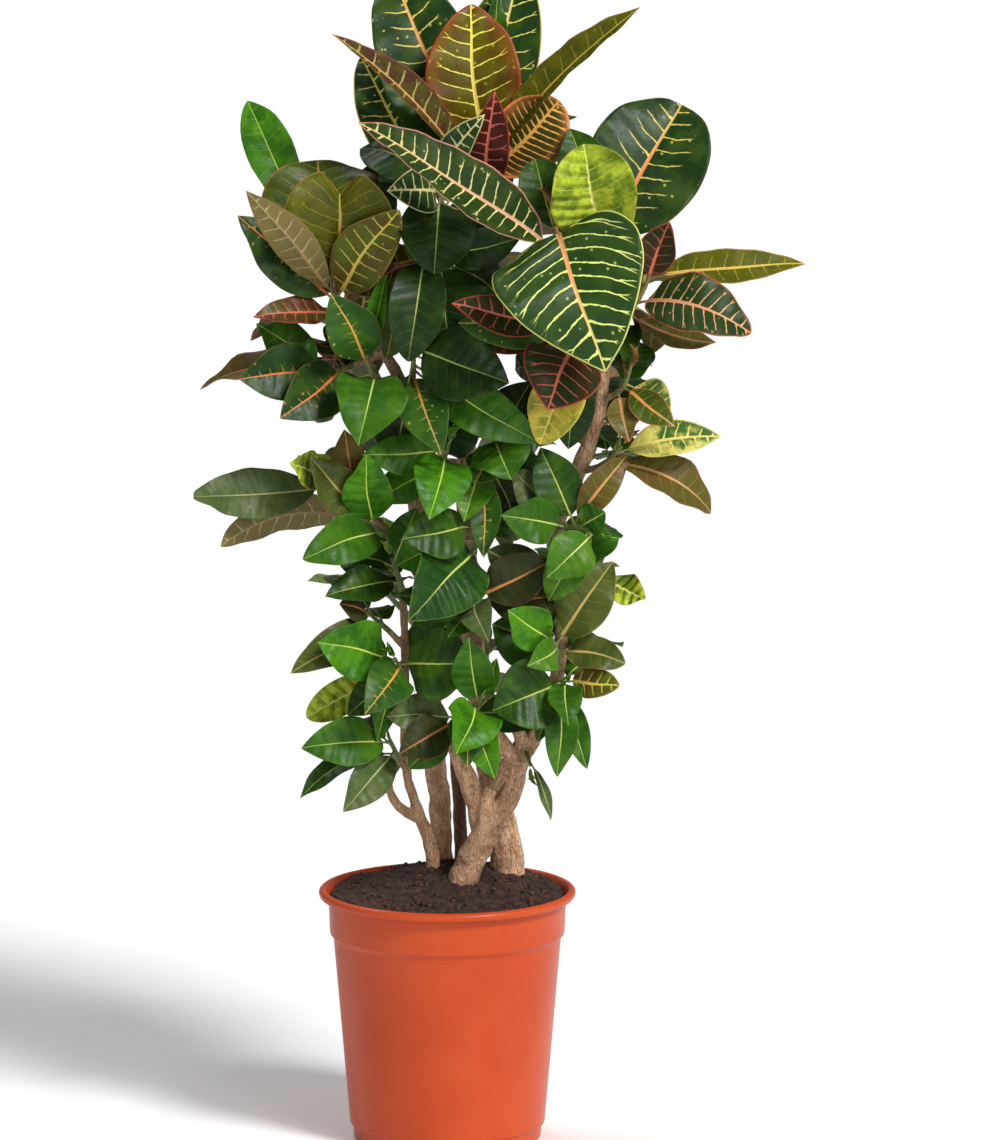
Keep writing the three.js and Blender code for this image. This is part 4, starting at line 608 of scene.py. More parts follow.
        "stem_back", [(33, 435, 36, 4.4), (37, 458, 76, 4), (38, 464, 87, 3.4)],
        [(39, 478, 112), (41, 497, 137)], (5, -20, 200, 95, 46, -50, 60, -0.4, "lower"),
    ),
    "shoot_back_mid": shoot(
        "stem_back", [(20, 610, 34, 4.4), (12, 640, 80, 4), (9, 648, 94, 3.4)],
        [(4, 662, 118), (-3, 680, 142)], (6, -15, 195, 125, 56, -55, 60, -0.4, "middle"),
    ),
    "shoot_back_high": shoot(
        "stem_back", [(34, 850, 31, 4.4), (42, 876, 70, 4), (45, 884, 82, 3.4)],
        [(51, 898, 107), (58, 916, 129)], (5, -15, 195, 145, 64, -55, 65, -0.4, "upper"),
    ),
    "shoot_back_left": shoot(
        "stem_middle", [(-35, 690, 28, 4.2), (-58, 722, 71, 4), (-65, 731, 84, 3.4)],
        [(-76, 745, 107), (-86, 761, 127)], (6, 60, 150, 120, 56, -15, 60, -0.4, "upper"),
    ),
    "shoot_back_right": shoot(
        "stem_right", [(120, 640, -26, 4.4), (132, 664, 39, 4), (137, 672, 59, 3.4)],
        [(145, 685, 84), (152, 701, 109)], (4, 25, 135, 120, 56, -15, 60, -0.4, "upper"),
    ),
    "shoot_back_left_low": shoot(
        "stem_middle", [(-19, 500, 42, 4.2), (-38, 522, 79, 4), (-44, 529, 90, 3.4)],
        [(-56, 541, 113), (-67, 556, 135)], (4, 60, 150, 100, 48, -15, 55, -0.4, "lower"),
    ),
    "shoot_back_right_low": shoot(
        "stem_right", [(112, 505, -28, 4), (122, 520, 28, 3.8), (126, 526, 43, 3.4)],
        [(135, 538, 68), (145, 554, 91)], (4, 75, 140, 98, 46, -15, 55, -0.4, "lower"),
    ),
}

# ---------------------------------------------------------------- helpers
def seeded_random(seed):
    """A seeded stream of numbers from 0 to 1, the same as the part's own."""
    state = seed
    while True:
        state = (state * 1664525 + 1013904223) % 4294967296
        yield state / 4294967296


def place(row):
    """A place seen from the front, (across, up, depth), as a point of the model in mm."""
    across, up, depth = row[:3]
    return np.array([across, depth, (up - depth * math.sin(VIEW_RISE)) / math.cos(VIEW_RISE)], float)


def unit(vector):
    return vector / np.linalg.norm(vector)


def lerp(low, high, share):
    return low + (high - low) * share


def smooth_curve(points, share):
    """The point at a share of a uniform Catmull-Rom curve through the points, which may hold a radius too."""
    spans = len(points) - 1
    row = min(int(share * spans), spans - 1)
    weight = share * spans - row
    p1, p2 = points[row], points[row + 1]
    p0 = points[row - 1] if row > 0 else 2 * p1 - p2
    p3 = points[row + 2] if row + 2 <= spans else 2 * p2 - p1
    start, end = 0.5 * (p2 - p0), 0.5 * (p3 - p1)
    square = weight * weight
    cube = square * weight
    bend = 3 * (p2 - p1) - 2 * start - end
    return p1 + start * weight + bend * square + (2 * (p1 - p2) + start + end) * cube


def linear(colour):
    """An sRGB colour, 0 to 255, as linear red, green, blue and alpha."""
    parts = [value / 255 for value in colour]
    return [part / 12.92 if part <= 0.04045 else ((part + 0.055) / 1.055) ** 2.4 for part in parts] + [1.0]


def linked(name, data):
    """A new object in the scene."""
    thing = bpy.data.objects.new(name, data)
    bpy.context.scene.collection.objects.link(thing)
    return thing


def search_tree(points):
    """A tree that finds the nearest of the points."""
    tree = kdtree.KDTree(len(points))
    for index, point in enumerate(points):
        tree.insert(point, index)
    tree.balance()
    return tree


VALUE_KINDS = {1: ("FLOAT", "value"), 3: ("FLOAT_VECTOR", "vector"), 4: ("FLOAT_COLOR", "color")}


class Shape:
    """A mesh in the making: vertices in mm, faces, their materials, and named values on the vertices."""

    def __init__(self):
        self.points = []
        self.faces = []
        self.materials = []
        self.values = {}
        self.count = 0

    def add(self, points, faces, material=0, **values):
        points = np.asarray(points, float)
        self.points.append(points)
        for face in faces:
            self.faces.append(tuple(int(k) + self.count for k in face))
        self.materials += [material] * len(faces)
        for name, value in values.items():
            rows = np.atleast_2d(np.asarray(value, float))
            if len(rows) != len(points):
                rows = np.repeat(rows, len(points), axis=0)
            self.values.setdefault(name, []).append(rows)
        self.count += len(points)

    def build(self, name, materials, smooth=True):
        mesh = bpy.data.meshes.new(name)
        points = np.concatenate(self.points) * MM
        mesh.from_pydata(points.tolist(), [], self.faces)
        mesh.polygons.foreach_set("material_index", self.materials)
        mesh.polygons.foreach_set("use_smooth", [smooth] * len(self.faces))
        for key, rows in self.values.items():
            rows = np.concatenate(rows)
            kind, field = VALUE_KINDS[rows.shape[1]]
            mesh.attributes.new(key, kind, "POINT").data.foreach_set(field, rows.ravel())
        for material in materials:
            mesh.materials.append(material)
        mesh.update()
        return linked(name, mesh)


def grid_faces(rows, columns, closed, first=0, flipped=False):
    """The quads of a grid of vertices, row by row, joined round at the ends of each row where closed."""
    faces = []
    for i in range(rows - 1):
        for j in range(columns if closed else columns - 1):
            k = (j + 1) % columns
            a, b = first + i * columns + j, first + i * columns + k
            face = (a, b, b + columns, a + columns)
            faces.append(face[::-1] if flipped else face)
    return faces


def fan(tip, first, sides, flipped=False):
    """The triangles from one vertex to a ring of vertices."""
    pairs = [(first + j, first + (j + 1) % sides) for j in range(sides)]
    return [(tip, b, a) if flipped else (tip, a, b) for a, b in pairs]


def tube(centres, radii, sides, start_side=(1, 0, 0)):
    """The points and faces of a closed round tube along the centres, with flat ends."""
    centres = np.asarray(centres, float)
    tangents = np.gradient(centres, axis=0)
    tangents /= np.linalg.norm(tangents, axis=1)[:, None]
    side = np.asarray(start_side, float)
    turns = np.arange(sides) * FULL_TURN / sides
    points = []
    for centre, tangent, radius in zip(centres, tangents, radii):
        side = side - tangent * side.dot(tangent)
        if np.linalg.norm(side) < 1e-3:
            side = np.array([0, 1, 0]) - tangent * tangent[1]
        side = unit(side)
        other = np.cross(tangent, side)
        ring = (radius * np.cos(turns))[:, None] * side
        points.append(centre + ring + (radius * np.sin(turns))[:, None] * other)
    rows = len(centres)
    faces = grid_faces(rows, sides, True)
    points = np.concatenate(points)
    ends = np.array([centres[0], centres[-1]])
    last = len(points)
    faces += fan(last, 0, sides, True) + fan(last + 1, (rows - 1) * sides, sides)
    return np.concatenate([points, ends]), faces


# ---------------------------------------------------------------- materials
class Nodes:
    """A material's nodes, added with short calls. A value is a number, a colour or another node's output."""

    def __init__(self, name):
        self.material = bpy.data.materials.new(name)
        self.material.use_nodes = True
        self.tree = self.material.node_tree
        self.tree.nodes.clear()

    def put(self, socket, value):
        if isinstance(value, bpy.types.NodeSocket):
            self.tree.links.new(value, socket)
        else:
            socket.default_value = value

    def node(self, kind, inputs=None, **settings):
        node = self.tree.nodes.new(kind)
        for key, value in settings.items():
            setattr(node, key, value)
        for key, value in (inputs or {}).items():
            self.put(node.inputs[key], value)
        return node

    def math(self, operation, *values, clamp=False):
        inputs = dict(enumerate(values))
        return self.node("ShaderNodeMath", inputs, operation=operation, use_clamp=clamp).outputs[0]

    def add(self, one, other):
        return self.math("ADD", one, other)

    def times(self, one, other):
        return self.math("MULTIPLY", one, other)

    def minus(self, one, other):
        return self.math("SUBTRACT", one, other)

    def scaled(self, vector, scale, offset=(0, 0, 0)):
        inputs = {"Vector": vector, "Location": offset, "Scale": scale}
        return self.node("ShaderNodeMapping", inputs).outputs["Vector"]

    def position(self):
        return self.node("ShaderNodeTexCoord").outputs["Object"]

    def value(self, name):
        return self.node("ShaderNodeAttribute", attribute_name=name).outputs["Fac"]

    def colour(self, name):
        return self.node("ShaderNodeAttribute", attribute_name=name).outputs["Color"]

    def parts(self, name):
        vector = self.node("ShaderNodeAttribute", attribute_name=name).outputs["Vector"]
        return self.node("ShaderNodeSeparateXYZ", {0: vector}).outputs[:]

    def vector(self, x, y, z):
        return self.node("ShaderNodeCombineXYZ", {0: x, 1: y, 2: z}).outputs[0]

    def noise(self, vector, scale, detail=2.0, roughness=0.5):
        inputs = {"Vector": vector, "Scale": scale, "Detail": detail, "Roughness": roughness}
        return self.node("ShaderNodeTexNoise", inputs).outputs["Fac"]

    def cells(self, vector, scale, feature="F1"):
        inputs = {"Vector": vector, "Scale": scale}
        return self.node("ShaderNodeTexVoronoi", inputs, feature=feature).outputs[0]

    def step(self, value, low, high, to_low=0.0, to_high=1.0):
        """A soft step from to_low to to_high, as the value goes from low to high."""
        inputs = {0: value, 1: low, 2: high, 3: to_low, 4: to_high}
        return self.node("ShaderNodeMapRange", inputs, interpolation_type="SMOOTHSTEP").outputs[0]

    def mix(self, share, one, other, blend="MIX"):
        node = self.node("ShaderNodeMix", data_type="RGBA", blend_type=blend)
        self.put(node.inputs[0], share)
        self.put(node.inputs[6], one)
        self.put(node.inputs[7], other)
        return node.outputs[2]

    def bump(self, height, distance, strength=1.0, normal=None):
        inputs = {"Height": height, "Distance": distance, "Strength": strength}
        if normal is not None:
            inputs["Normal"] = normal
        return self.node("ShaderNodeBump", inputs).outputs[0]

    def finish(self, inputs):
        shader = self.node("ShaderNodeBsdfPrincipled", inputs)
        output = self.node("ShaderNodeOutputMaterial")
        self.tree.links.new(shader.outputs[0], output.inputs[0])
        return self.material


def leaf_material():
    """Blades: two tones, side veins that curve to the tip, spots, the midrib, the margin and a paler back."""
    n = Nodes("leaf")
    x, y, edge = n.parts("place")
    half, length, under = n.parts("blade")
    vein_share, rib_width, edge_width = n.parts("widths")
    spacing, seed, speck = n.parts("pattern")
    vein_size, vein_reach, relief = n.parts("finish")
    lean = n.math("ABSOLUTE", x)
    right = n.math("GREATER_THAN", x, 0.0)
    shift = n.times(seed, 40.0)
    flat = n.vector(n.add(x, shift), n.add(y, n.times(shift, 0.7)), shift)
    wide_noise = n.noise(flat, 0.045, 3.0)
    fine_noise = n.noise(flat, 0.28, 3.0, 0.6)
    # The side veins leave the midrib steeply and bend to the tip. Each has a number, which sets how far it
    # reaches before it forks and fades.
    rise = n.add(n.times(lean, 0.30), n.times(n.times(lean, lean), 0.0035))
    turn = n.math("DIVIDE", n.minus(y, rise), spacing)
    turn = n.add(turn, n.add(n.times(right, 0.45), n.add(seed, n.times(wide_noise, 0.55))))
    number = n.math("FLOOR", turn)
    chance = n.node("ShaderNodeTexWhiteNoise", {"Vector": n.vector(number, right, shift)})
    first, second, _ = n.node("ShaderNodeSeparateColor", {0: chance.outputs["Color"]}).outputs[:]
    middle_gap = n.times(n.math("ABSOLUTE", n.minus(n.math("FRACT", turn), 0.5)), spacing)
    reach = n.math("DIVIDE", lean, n.add(half, 0.5))
    fork = n.math("MAXIMUM", n.minus(reach, n.add(0.58, n.times(second, 0.25))), 0.0)
    vein_gap = n.math("ABSOLUTE", n.minus(middle_gap, n.times(n.times(fork, spacing), 0.75)))
    root_swell = n.step(lean, 7.0, 0.0, 1.0, 1.7)
    vein_width = n.times(n.times(n.minus(1.0, n.times(reach, 0.5)), root_swell), n.times(spacing, 0.058))
    vein_width = n.times(n.times(vein_width, vein_size), n.step(fine_noise, 0.32, 0.6, 0.55, 1.2))
    ratio = n.math("DIVIDE", vein_gap, n.add(vein_width, 0.05))
    extent = n.times(vein_reach, n.add(0.72, n.times(first, 0.26)))
    vein = n.times(n.step(ratio, 1.35, 0.65), n.step(n.minus(reach, extent), 0.06, -0.06))
    vein = n.times(vein, n.step(edge, 0.8, 3.0))
    # Spots between the veins.
    drops = n.node("ShaderNodeTexVoronoi", {"Vector": flat, "Scale": 0.11})
    drop_chance = n.node("ShaderNodeSeparateColor", {0: drops.outputs["Color"]}).outputs[0]
    spots = n.times(n.step(drops.outputs["Distance"], 0.20, 0.12), n.step(drop_chance, 0.55, 0.6))
    spots = n.times(spots, speck)
    patch = n.step(n.add(wide_noise, n.times(n.minus(fine_noise, 0.5), 0.2)), 0.42, 0.62)
    blade = n.mix(patch, n.colour("tone_blade"), n.colour("tone_patch"))
    blade = n.mix(n.step(fine_noise, 0.35, 0.75, 0.0, 0.16), blade, LEAF_MOTTLE)
    blade = n.mix(n.times(vein, vein_share), blade, n.colour("tone_vein"))
    blade = n.mix(spots, blade, n.colour("tone_vein"))
    blush = n.math("DIVIDE", edge, n.add(half, 2.0))
    blush = n.times(n.step(blush, 0.42, 0.02), n.step(edge_width, 1.25, 1.4, 0.0, 0.3))
    blade = n.mix(blush, blade, n.colour("tone_edge"))
    border = n.times(n.step(n.math("DIVIDE", edge, n.add(edge_width, 0.05)), 1.4, 0.5), 0.85)
    blade = n.mix(border, blade, n.colour("tone_edge"))
    along = n.math("DIVIDE", y, n.add(length, 1.0))
    rib_here = n.times(rib_width, n.minus(1.45, n.times(along, 1.1)))
    rib = n.step(n.math("DIVIDE", lean, n.add(rib_here, 0.1)), 1.2, 0.8)
    rib_tone = n.mix(n.step(along, 0.35, 0.95, 0.0, 0.65), n.colour("tone_rib"), n.colour("tone_vein"))
    blade = n.mix(n.times(rib, 0.92), blade, rib_tone)
    back = n.mix(0.62, blade, n.colour("tone_back"))
    colour = n.mix(under, blade, back)
    swell = n.math("COSINE", n.times(turn, FULL_TURN))
    height = n.times(n.add(n.times(swell, 0.6), n.times(vein, -0.5)), relief)
    height = n.add(height, n.times(fine_noise, 0.30))
    roughness = n.add(n.add(0.26, n.times(under, 0.22)), n.times(fine_noise, 0.22))
    return n.finish({
        "Base Color": colour, "Roughness": roughness, "IOR": 1.33, "Specular IOR Level": 0.32,
        "Normal": n.bump(height, 0.0011, 0.75),
    })


def green_stem_material():
    """Petioles and green shoots: a tone of their own, fine streaks and darker scars."""
    n = Nodes("green_stem")
    position = n.position()
    streaks = n.noise(n.scaled(position, (900, 900, 160)), 1.0, 3.0, 0.6)
    scars = n.step(n.cells(position, 130.0), 0.16, 0.30)
    colour = n.mix(n.step(streaks, 0.35, 0.7, 0.0, 0.55), n.colour("tone_stem"), STEM_STREAKS)
    colour = n.mix(n.times(n.minus(1.0, scars), 0.45), colour, STEM_SCARS)
    height = n.add(streaks, n.times(scars, 0.6))
    return n.finish({
        "Base Color": colour, "Roughness": n.add(0.42, n.times(streaks, 0.2)),
        "Normal": n.bump(height, 0.0005, 0.6),
    })


def bark_material(name, light, mid, dark):
    """Bark: streaks along the wood, paler old skin, cracks, leaf scars, and the pale wood of the cuts."""
    n = Nodes(name)
    position = n.position()
    young = n.value("young")
    cut = n.value("cut")
    long_noise = n.noise(n.scaled(position, (150, 150, 34)), 1.0, 4.0, 0.6)
    grain = n.noise(n.scaled(position, (620, 620, 150)), 1.0, 4.0, 0.65)
    blotch = n.noise(position, 48.0, 3.0, 0.55)
    cracks = n.step(n.cells(n.scaled(position, (420, 420, 110)), 1.0, "DISTANCE_TO_EDGE"), 0.10, 0.0)
    scars = n.step(n.cells(n.scaled(position, (60, 60, 130)), 1.0), 0.20, 0.12)
    colour = n.mix(n.step(long_noise, 0.36, 0.64), linear(mid), linear(light))
    colour = n.mix(n.step(blotch, 0.52, 0.72, 0.0, 0.6), colour, linear(dark))
    colour = n.mix(n.step(grain, 0.50, 0.74, 0.0, 0.4), colour, linear(dark))
    colour = n.mix(n.times(cracks, 0.35), colour, BARK_CRACKS)
    colour = n.mix(n.times(scars, 0.6), colour, linear(dark))
    colour = n.mix(n.times(young, 0.55), colour, linear(YOUNG_BARK))
    wood = n.mix(grain, *map(linear, CUT_WOOD))
    colour = n.mix(cut, colour, wood)
    height = n.add(n.add(long_noise, n.times(grain, 0.7)), n.times(cracks, -0.8))
    return n.finish({
        "Base Color": colour, "Roughness": n.add(0.66, n.times(grain, 0.22)),
        "Normal": n.bump(n.add(height, n.times(scars, -0.5)), 0.0011, 0.9),
    })


def soil_material():
    """Peat: near black to reddish brown crumbs with paler fibre dust."""
    n = Nodes("soil")
    position = n.position()
    coarse = n.noise(position, 90.0, 4.0, 0.65)
    fine = n.noise(position, 520.0, 4.0, 0.7)
    tone = n.value("tone")
    colour = n.mix(n.step(coarse, 0.35, 0.68), *map(linear, PEAT))
    colour = n.mix(n.step(fine, 0.52, 0.76, 0.0, 0.75), colour, linear(PEAT_DUST))
    colour = n.mix(tone, colour, linear(PEAT_FIBRE))
    height = n.add(coarse, n.times(fine, 0.8))
    return n.finish({
        "Base Color": colour, "Roughness": n.add(0.86, n.times(fine, 0.1)),
        "Normal": n.bump(height, 0.0016, 1.0),
    })


def plastic_material():
    """Moulded plastic: terracotta with faint clouds, fine draw lines up the wall and paler, rougher scuffs.
    """
    n = Nodes("terracotta_plastic")
    position = n.position()
    clouds = n.noise(position, 9.0, 3.0, 0.5)
    lines = n.noise(n.scaled(position, (260, 260, 5)), 1.0, 3.0, 0.55)
    grain = n.noise(position, 1400.0, 2.0, 0.5)
    scuffs = n.step(n.noise(n.scaled(position, (60, 60, 24)), 1.0, 5.0, 0.7), 0.60, 0.78, 0.0, 0.35)
    colour = n.mix(n.step(clouds, 0.3, 0.7), *map(linear, PLASTIC))
    colour = n.mix(n.step(lines, 0.4, 0.7, 0.0, 0.18), colour, linear(PLASTIC_LINES))
    colour = n.mix(n.times(scuffs, 0.4), colour, linear(PLASTIC_SCUFFS))
    roughness = n.add(n.add(0.30, n.times(clouds, 0.08)), n.times(scuffs, 0.35))
    height = n.add(n.times(lines, 0.5), n.times(grain, 0.25))
    return n.finish({
        "Base Color": colour, "Roughness": roughness, "IOR": 1.4, "Specular IOR Level": 0.3,
        "Normal": n.bump(height, 0.00022, 0.55),
    })


def floor_material():
    """Pale paper."""
    n = Nodes("paper")
    fibres = n.noise(n.position(), 40.0, 3.0, 0.6)
    colour = n.mix(fibres, *PAPER)
    return n.finish({"Base Color": colour, "Roughness": 0.9, "Specular IOR Level": 0.1})


# ---------------------------------------------------------------- pot
COLLAR_TOP = POT_HEIGHT - RIM_DEPTH
COLLAR_BOTTOM = COLLAR_TOP - COLLAR_HEIGHT
COLLAR_LOWER_RADIUS = COLLAR_RADIUS - COLLAR_TAPER
BODY_TOP_RADIUS = COLLAR_LOWER_RADIUS - COLLAR_STEP
FOOT_TOP = FOOT_HEIGHT + STEP_SLOPE


def rounded(corners, steps=4):
    """A profile of (radius, height) points in which each corner (radius, height, rounding) is an arc."""
    profile = []
    for index, (radius, height, rounding) in enumerate(corners):
        corner = np.array([radius, height], float)
        if rounding == 0 or index in (0, len(corners) - 1):
            profile.append(corner)
            continue
        before = np.array(corners[index - 1][:2], float) - corner
        after = np.array(corners[index + 1][:2], float) - corner
        reach = min(rounding, 0.48 * np.linalg.norm(before), 0.48 * np.linalg.norm(after))
        start, end = corner + unit(before) * reach, corner + unit(after) * reach
        for step in range(steps + 1):
            t = step / steps
            profile.append(start * (1 - t) ** 2 + corner * 2 * t * (1 - t) + end * t * t)
    return profile


def lathe(profile, sides):
    """The closed surface that a profile from the axis out and back to the axis sweeps."""
    turns = np.arange(sides) * FULL_TURN / sides
    rings = profile[1:-1]
    points = [np.stack([r * np.cos(turns), r * np.sin(turns), np.full(sides, z)], 1) for r, z in rings]
    first = len(rings) * sides
    faces = grid_faces(len(rings), sides, True)
    faces += fan(first, 0, sides, True) + fan(first + 1, first - sides, sides)
    ends = [[0, 0, profile[0][1]], [0, 0, profile[-1][1]]]
    return np.concatenate(points + [np.array(ends, float)]), faces


def apply_modifiers(piece):
    """Turns a piece's modifiers into its own mesh."""
    graph = bpy.context.evaluated_depsgraph_get()
    mesh = bpy.data.meshes.new_from_object(piece.evaluated_get(graph))
    piece.modifiers.clear()
    piece.data = mesh


def make_pot():
    corners = [
        (0, 0, 0), (FOOT_RADIUS, 0, 2), (FOOT_RADIUS + 1, FOOT_HEIGHT, 0.8),
        (BODY_BOTTOM_RADIUS, FOOT_TOP, 2.5), (BODY_TOP_RADIUS, COLLAR_BOTTOM - STEP_SLOPE, 2.5),
        (COLLAR_LOWER_RADIUS, COLLAR_BOTTOM + STEP_SLOPE, 1.6), (COLLAR_RADIUS, COLLAR_TOP, 1.5),
        (RIM_RADIUS - 1.5, COLLAR_TOP + 0.5, 2.2), (RIM_RADIUS, POT_HEIGHT - 3, 3),
        (RIM_RADIUS - 3, POT_HEIGHT, 2.5), (RIM_RADIUS - RIM_WIDTH, POT_HEIGHT, 3),
        (COLLAR_RADIUS - WALL, COLLAR_TOP - 1, 6),
        (COLLAR_LOWER_RADIUS - WALL, COLLAR_BOTTOM + STEP_SLOPE, 1),
        (BODY_TOP_RADIUS - WALL, COLLAR_BOTTOM - STEP_SLOPE, 1), (BODY_BOTTOM_RADIUS - WALL, FOOT_TOP, 1),
        (FOOT_RADIUS - WALL, WALL, 2), (0, WALL, 0),
    ]
    shape = Shape()
    shape.add(*lathe(rounded(corners), POT_SIDES))
    pot = shape.build("fine_pot", [plastic_material()])
    drains = Shape()
    for i in range(DRAIN_COUNT):
        turn = FULL_TURN * (i + 0.5) / DRAIN_COUNT
        centre = np.array([DRAIN_CIRCLE * math.cos(turn), DRAIN_CIRCLE * math.sin(turn), 0])
        heights = [centre + (0, 0, z) for z in (-2 * WALL, 0, 2 * WALL)]
        drains.add(*tube(heights, [DRAIN_RADIUS] * 3, DRAIN_SIDES))
    cutter = drains.build("cutter", [])
    cut = pot.modifiers.new("drains", "BOOLEAN")
    cut.object = cutter
    cut.operation = "DIFFERENCE"
    cut.solver = "EXACT"
    apply_modifiers(pot)
    bpy.data.objects.remove(cutter)
    keep_sharp(pot, 40)
    settle(pot, "pot")


def keep_sharp(piece, angle):
    """Smooth shading, except over edges sharper than the angle in degrees."""
    piece.data.shade_smooth()
    piece.data.set_sharp_from_angle(angle=math.radians(angle))


def settle(piece, node):
    """A finished piece stands for its CAD node, which it hides, and moves with the whole."""
    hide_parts(node)
    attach(piece, "root")


# ---------------------------------------------------------------- soil
def soil_height(x, y):
    across = (x - MOUND_CENTRE[0]) / MOUND_SPREAD[0]
    deep = (y - MOUND_CENTRE[1]) / MOUND_SPREAD[1]
    return SOIL_EDGE + SOIL_MOUND * math.exp(-(across * across + deep * deep) / 2)


def soil_surface(x, y):
    """The soil's height with its lumps."""
    lumps = (height * noise.noise(Vector((x, y, layer)) * scale) for scale, layer, height in SOIL_LUMPS)
    return sum(lumps, soil_height(x, y))


def crumb(random, x, y):
    """An uneven crumb that lies in the surface."""
    size = lerp(*CRUMB_SIZES, next(random) ** 2.2)
    stretch = np.array([0.7 + 0.7 * next(random) for _ in range(3)])
    middle = np.array([x, y, soil_surface(x, y) + 0.25 * size])
    frayed = bmesh.new()
    bmesh.ops.create_icosphere(frayed, subdivisions=2 if size > LARGE_CRUMB else 1, radius=1)
    shift = Vector((next(random) * 50, next(random) * 50, 0))
    points = [np.array(v.co) * (1 + 0.45 * noise.noise(v.co * 1.9 + shift)) for v in frayed.verts]
    faces = [[v.index for v in face.verts] for face in frayed.faces]
    frayed.free()
    return np.array(points) * stretch * size + middle, faces


def fibre(random, x, y):
    """A thin bent fibre or rootlet on the surface."""
    length = lerp(*FIBRE_LENGTHS, next(random))
    turn = FULL_TURN * next(random)
    bend = FIBRE_BEND * (next(random) - 0.5)
    lift = 0.2 + 2.0 * next(random)
    centres = []
    for step in range(6):
        share = step / 5
        angle = turn + bend * share
        x += length / 5 * math.cos(angle)
        y += length / 5 * math.sin(angle)
        height = soil_surface(x, y) + 0.3 + lift * math.sin(math.pi * share)
        centres.append((x, y, height))
    thick = lerp(*FIBRE_RADII, next(random))
    return tube(centres, np.linspace(thick, thick * 0.5, 6), 5, (0, 0, 1))


def make_soil():
    top_radius = COLLAR_RADIUS - WALL - 2 * SOIL_GAP
    turns = np.arange(SOIL_SIDES) * FULL_TURN / SOIL_SIDES
    rings = []
    for row in range(1, SOIL_RINGS + 1):
        radius = top_radius * row / SOIL_RINGS
        rings.append([(radius * c, radius * s, soil_surface(radius * c, radius * s))
                      for c, s in zip(np.cos(turns), np.sin(turns))])
    for radius, height in [
        (COLLAR_LOWER_RADIUS - WALL - SOIL_GAP, COLLAR_BOTTOM + STEP_SLOPE),
        (BODY_TOP_RADIUS - WALL - SOIL_GAP, COLLAR_BOTTOM - STEP_SLOPE),
        (BODY_BOTTOM_RADIUS - WALL - SOIL_GAP, FOOT_TOP + 1),
        (FOOT_RADIUS - WALL - 2 * SOIL_GAP, WALL + SOIL_GAP),
    ]:
        rings.append([(radius * c, radius * s, height) for c, s in zip(np.cos(turns), np.sin(turns))])
    rings.append([(0, 0, soil_surface(0, 0)), (0, 0, WALL + SOIL_GAP)])
    points = np.concatenate([np.array(ring, float) for ring in rings])
    last = len(points) - 2
    faces = grid_faces(len(rings) - 1, SOIL_SIDES, True, flipped=True)
    faces += fan(last, 0, SOIL_SIDES) + fan(last + 1, last - SOIL_SIDES, SOIL_SIDES, True)
    shape = Shape()
    shape.add(points, faces, tone=0)
    random = seeded_random(SOIL_SEED)
    for index in range(CRUMB_COUNT + FIBRE_COUNT):
        radius = (top_radius - 4) * math.sqrt(next(random))
        turn = FULL_TURN * next(random)
        x, y = radius * math.cos(turn), radius * math.sin(turn)
        if index < CRUMB_COUNT:
            points, faces = crumb(random, x, y)
            tone = 0.22 * next(random) ** 2
        else:
            x, y = FIBRE_SPREAD * x, FIBRE_SPREAD * y
            points, faces = fibre(random, x, y)
            tone = 0.25 + 0.6 * next(random)
        shape.add(points, faces, tone=tone)
    settle(shape.build("fine_soil", [soil_material()]), "soil")


# ---------------------------------------------------------------- wood
def seat_direction(shoot):
    """The way in which a shoot leaves its wood."""
    return unit(place(shoot["path"][1]) - place(shoot["path"][0]))


def wood_tube(rows, seed):
    """The centres and radii of a woody tube through rows of (across, up, depth, radius), with knots."""
    points = [np.append(place(row), row[3]) for row in rows]
    length = sum(np.linalg.norm(b[:3] - a[:3]) for a, b in zip(points, points[1:]))
    steps = max(WOOD_STEPS, int(length / WOOD_SPACING))
    curve = np.array([smooth_curve(points, k / steps) for k in range(steps + 1)])
    centres, radii = curve[:, :3], curve[:, 3].copy()
    for k in range(1, steps):
        swell = noise.noise(Vector((k * 0.45, seed * 7.3, 1.0)))
        knot = max(0.0, noise.noise(Vector((k * 0.21, seed * 3.1, 8.0))) - 0.25)
        radii[k] *= 1 + WOOD_SWELL * swell + WOOD_KNOT * knot
    return centres, radii


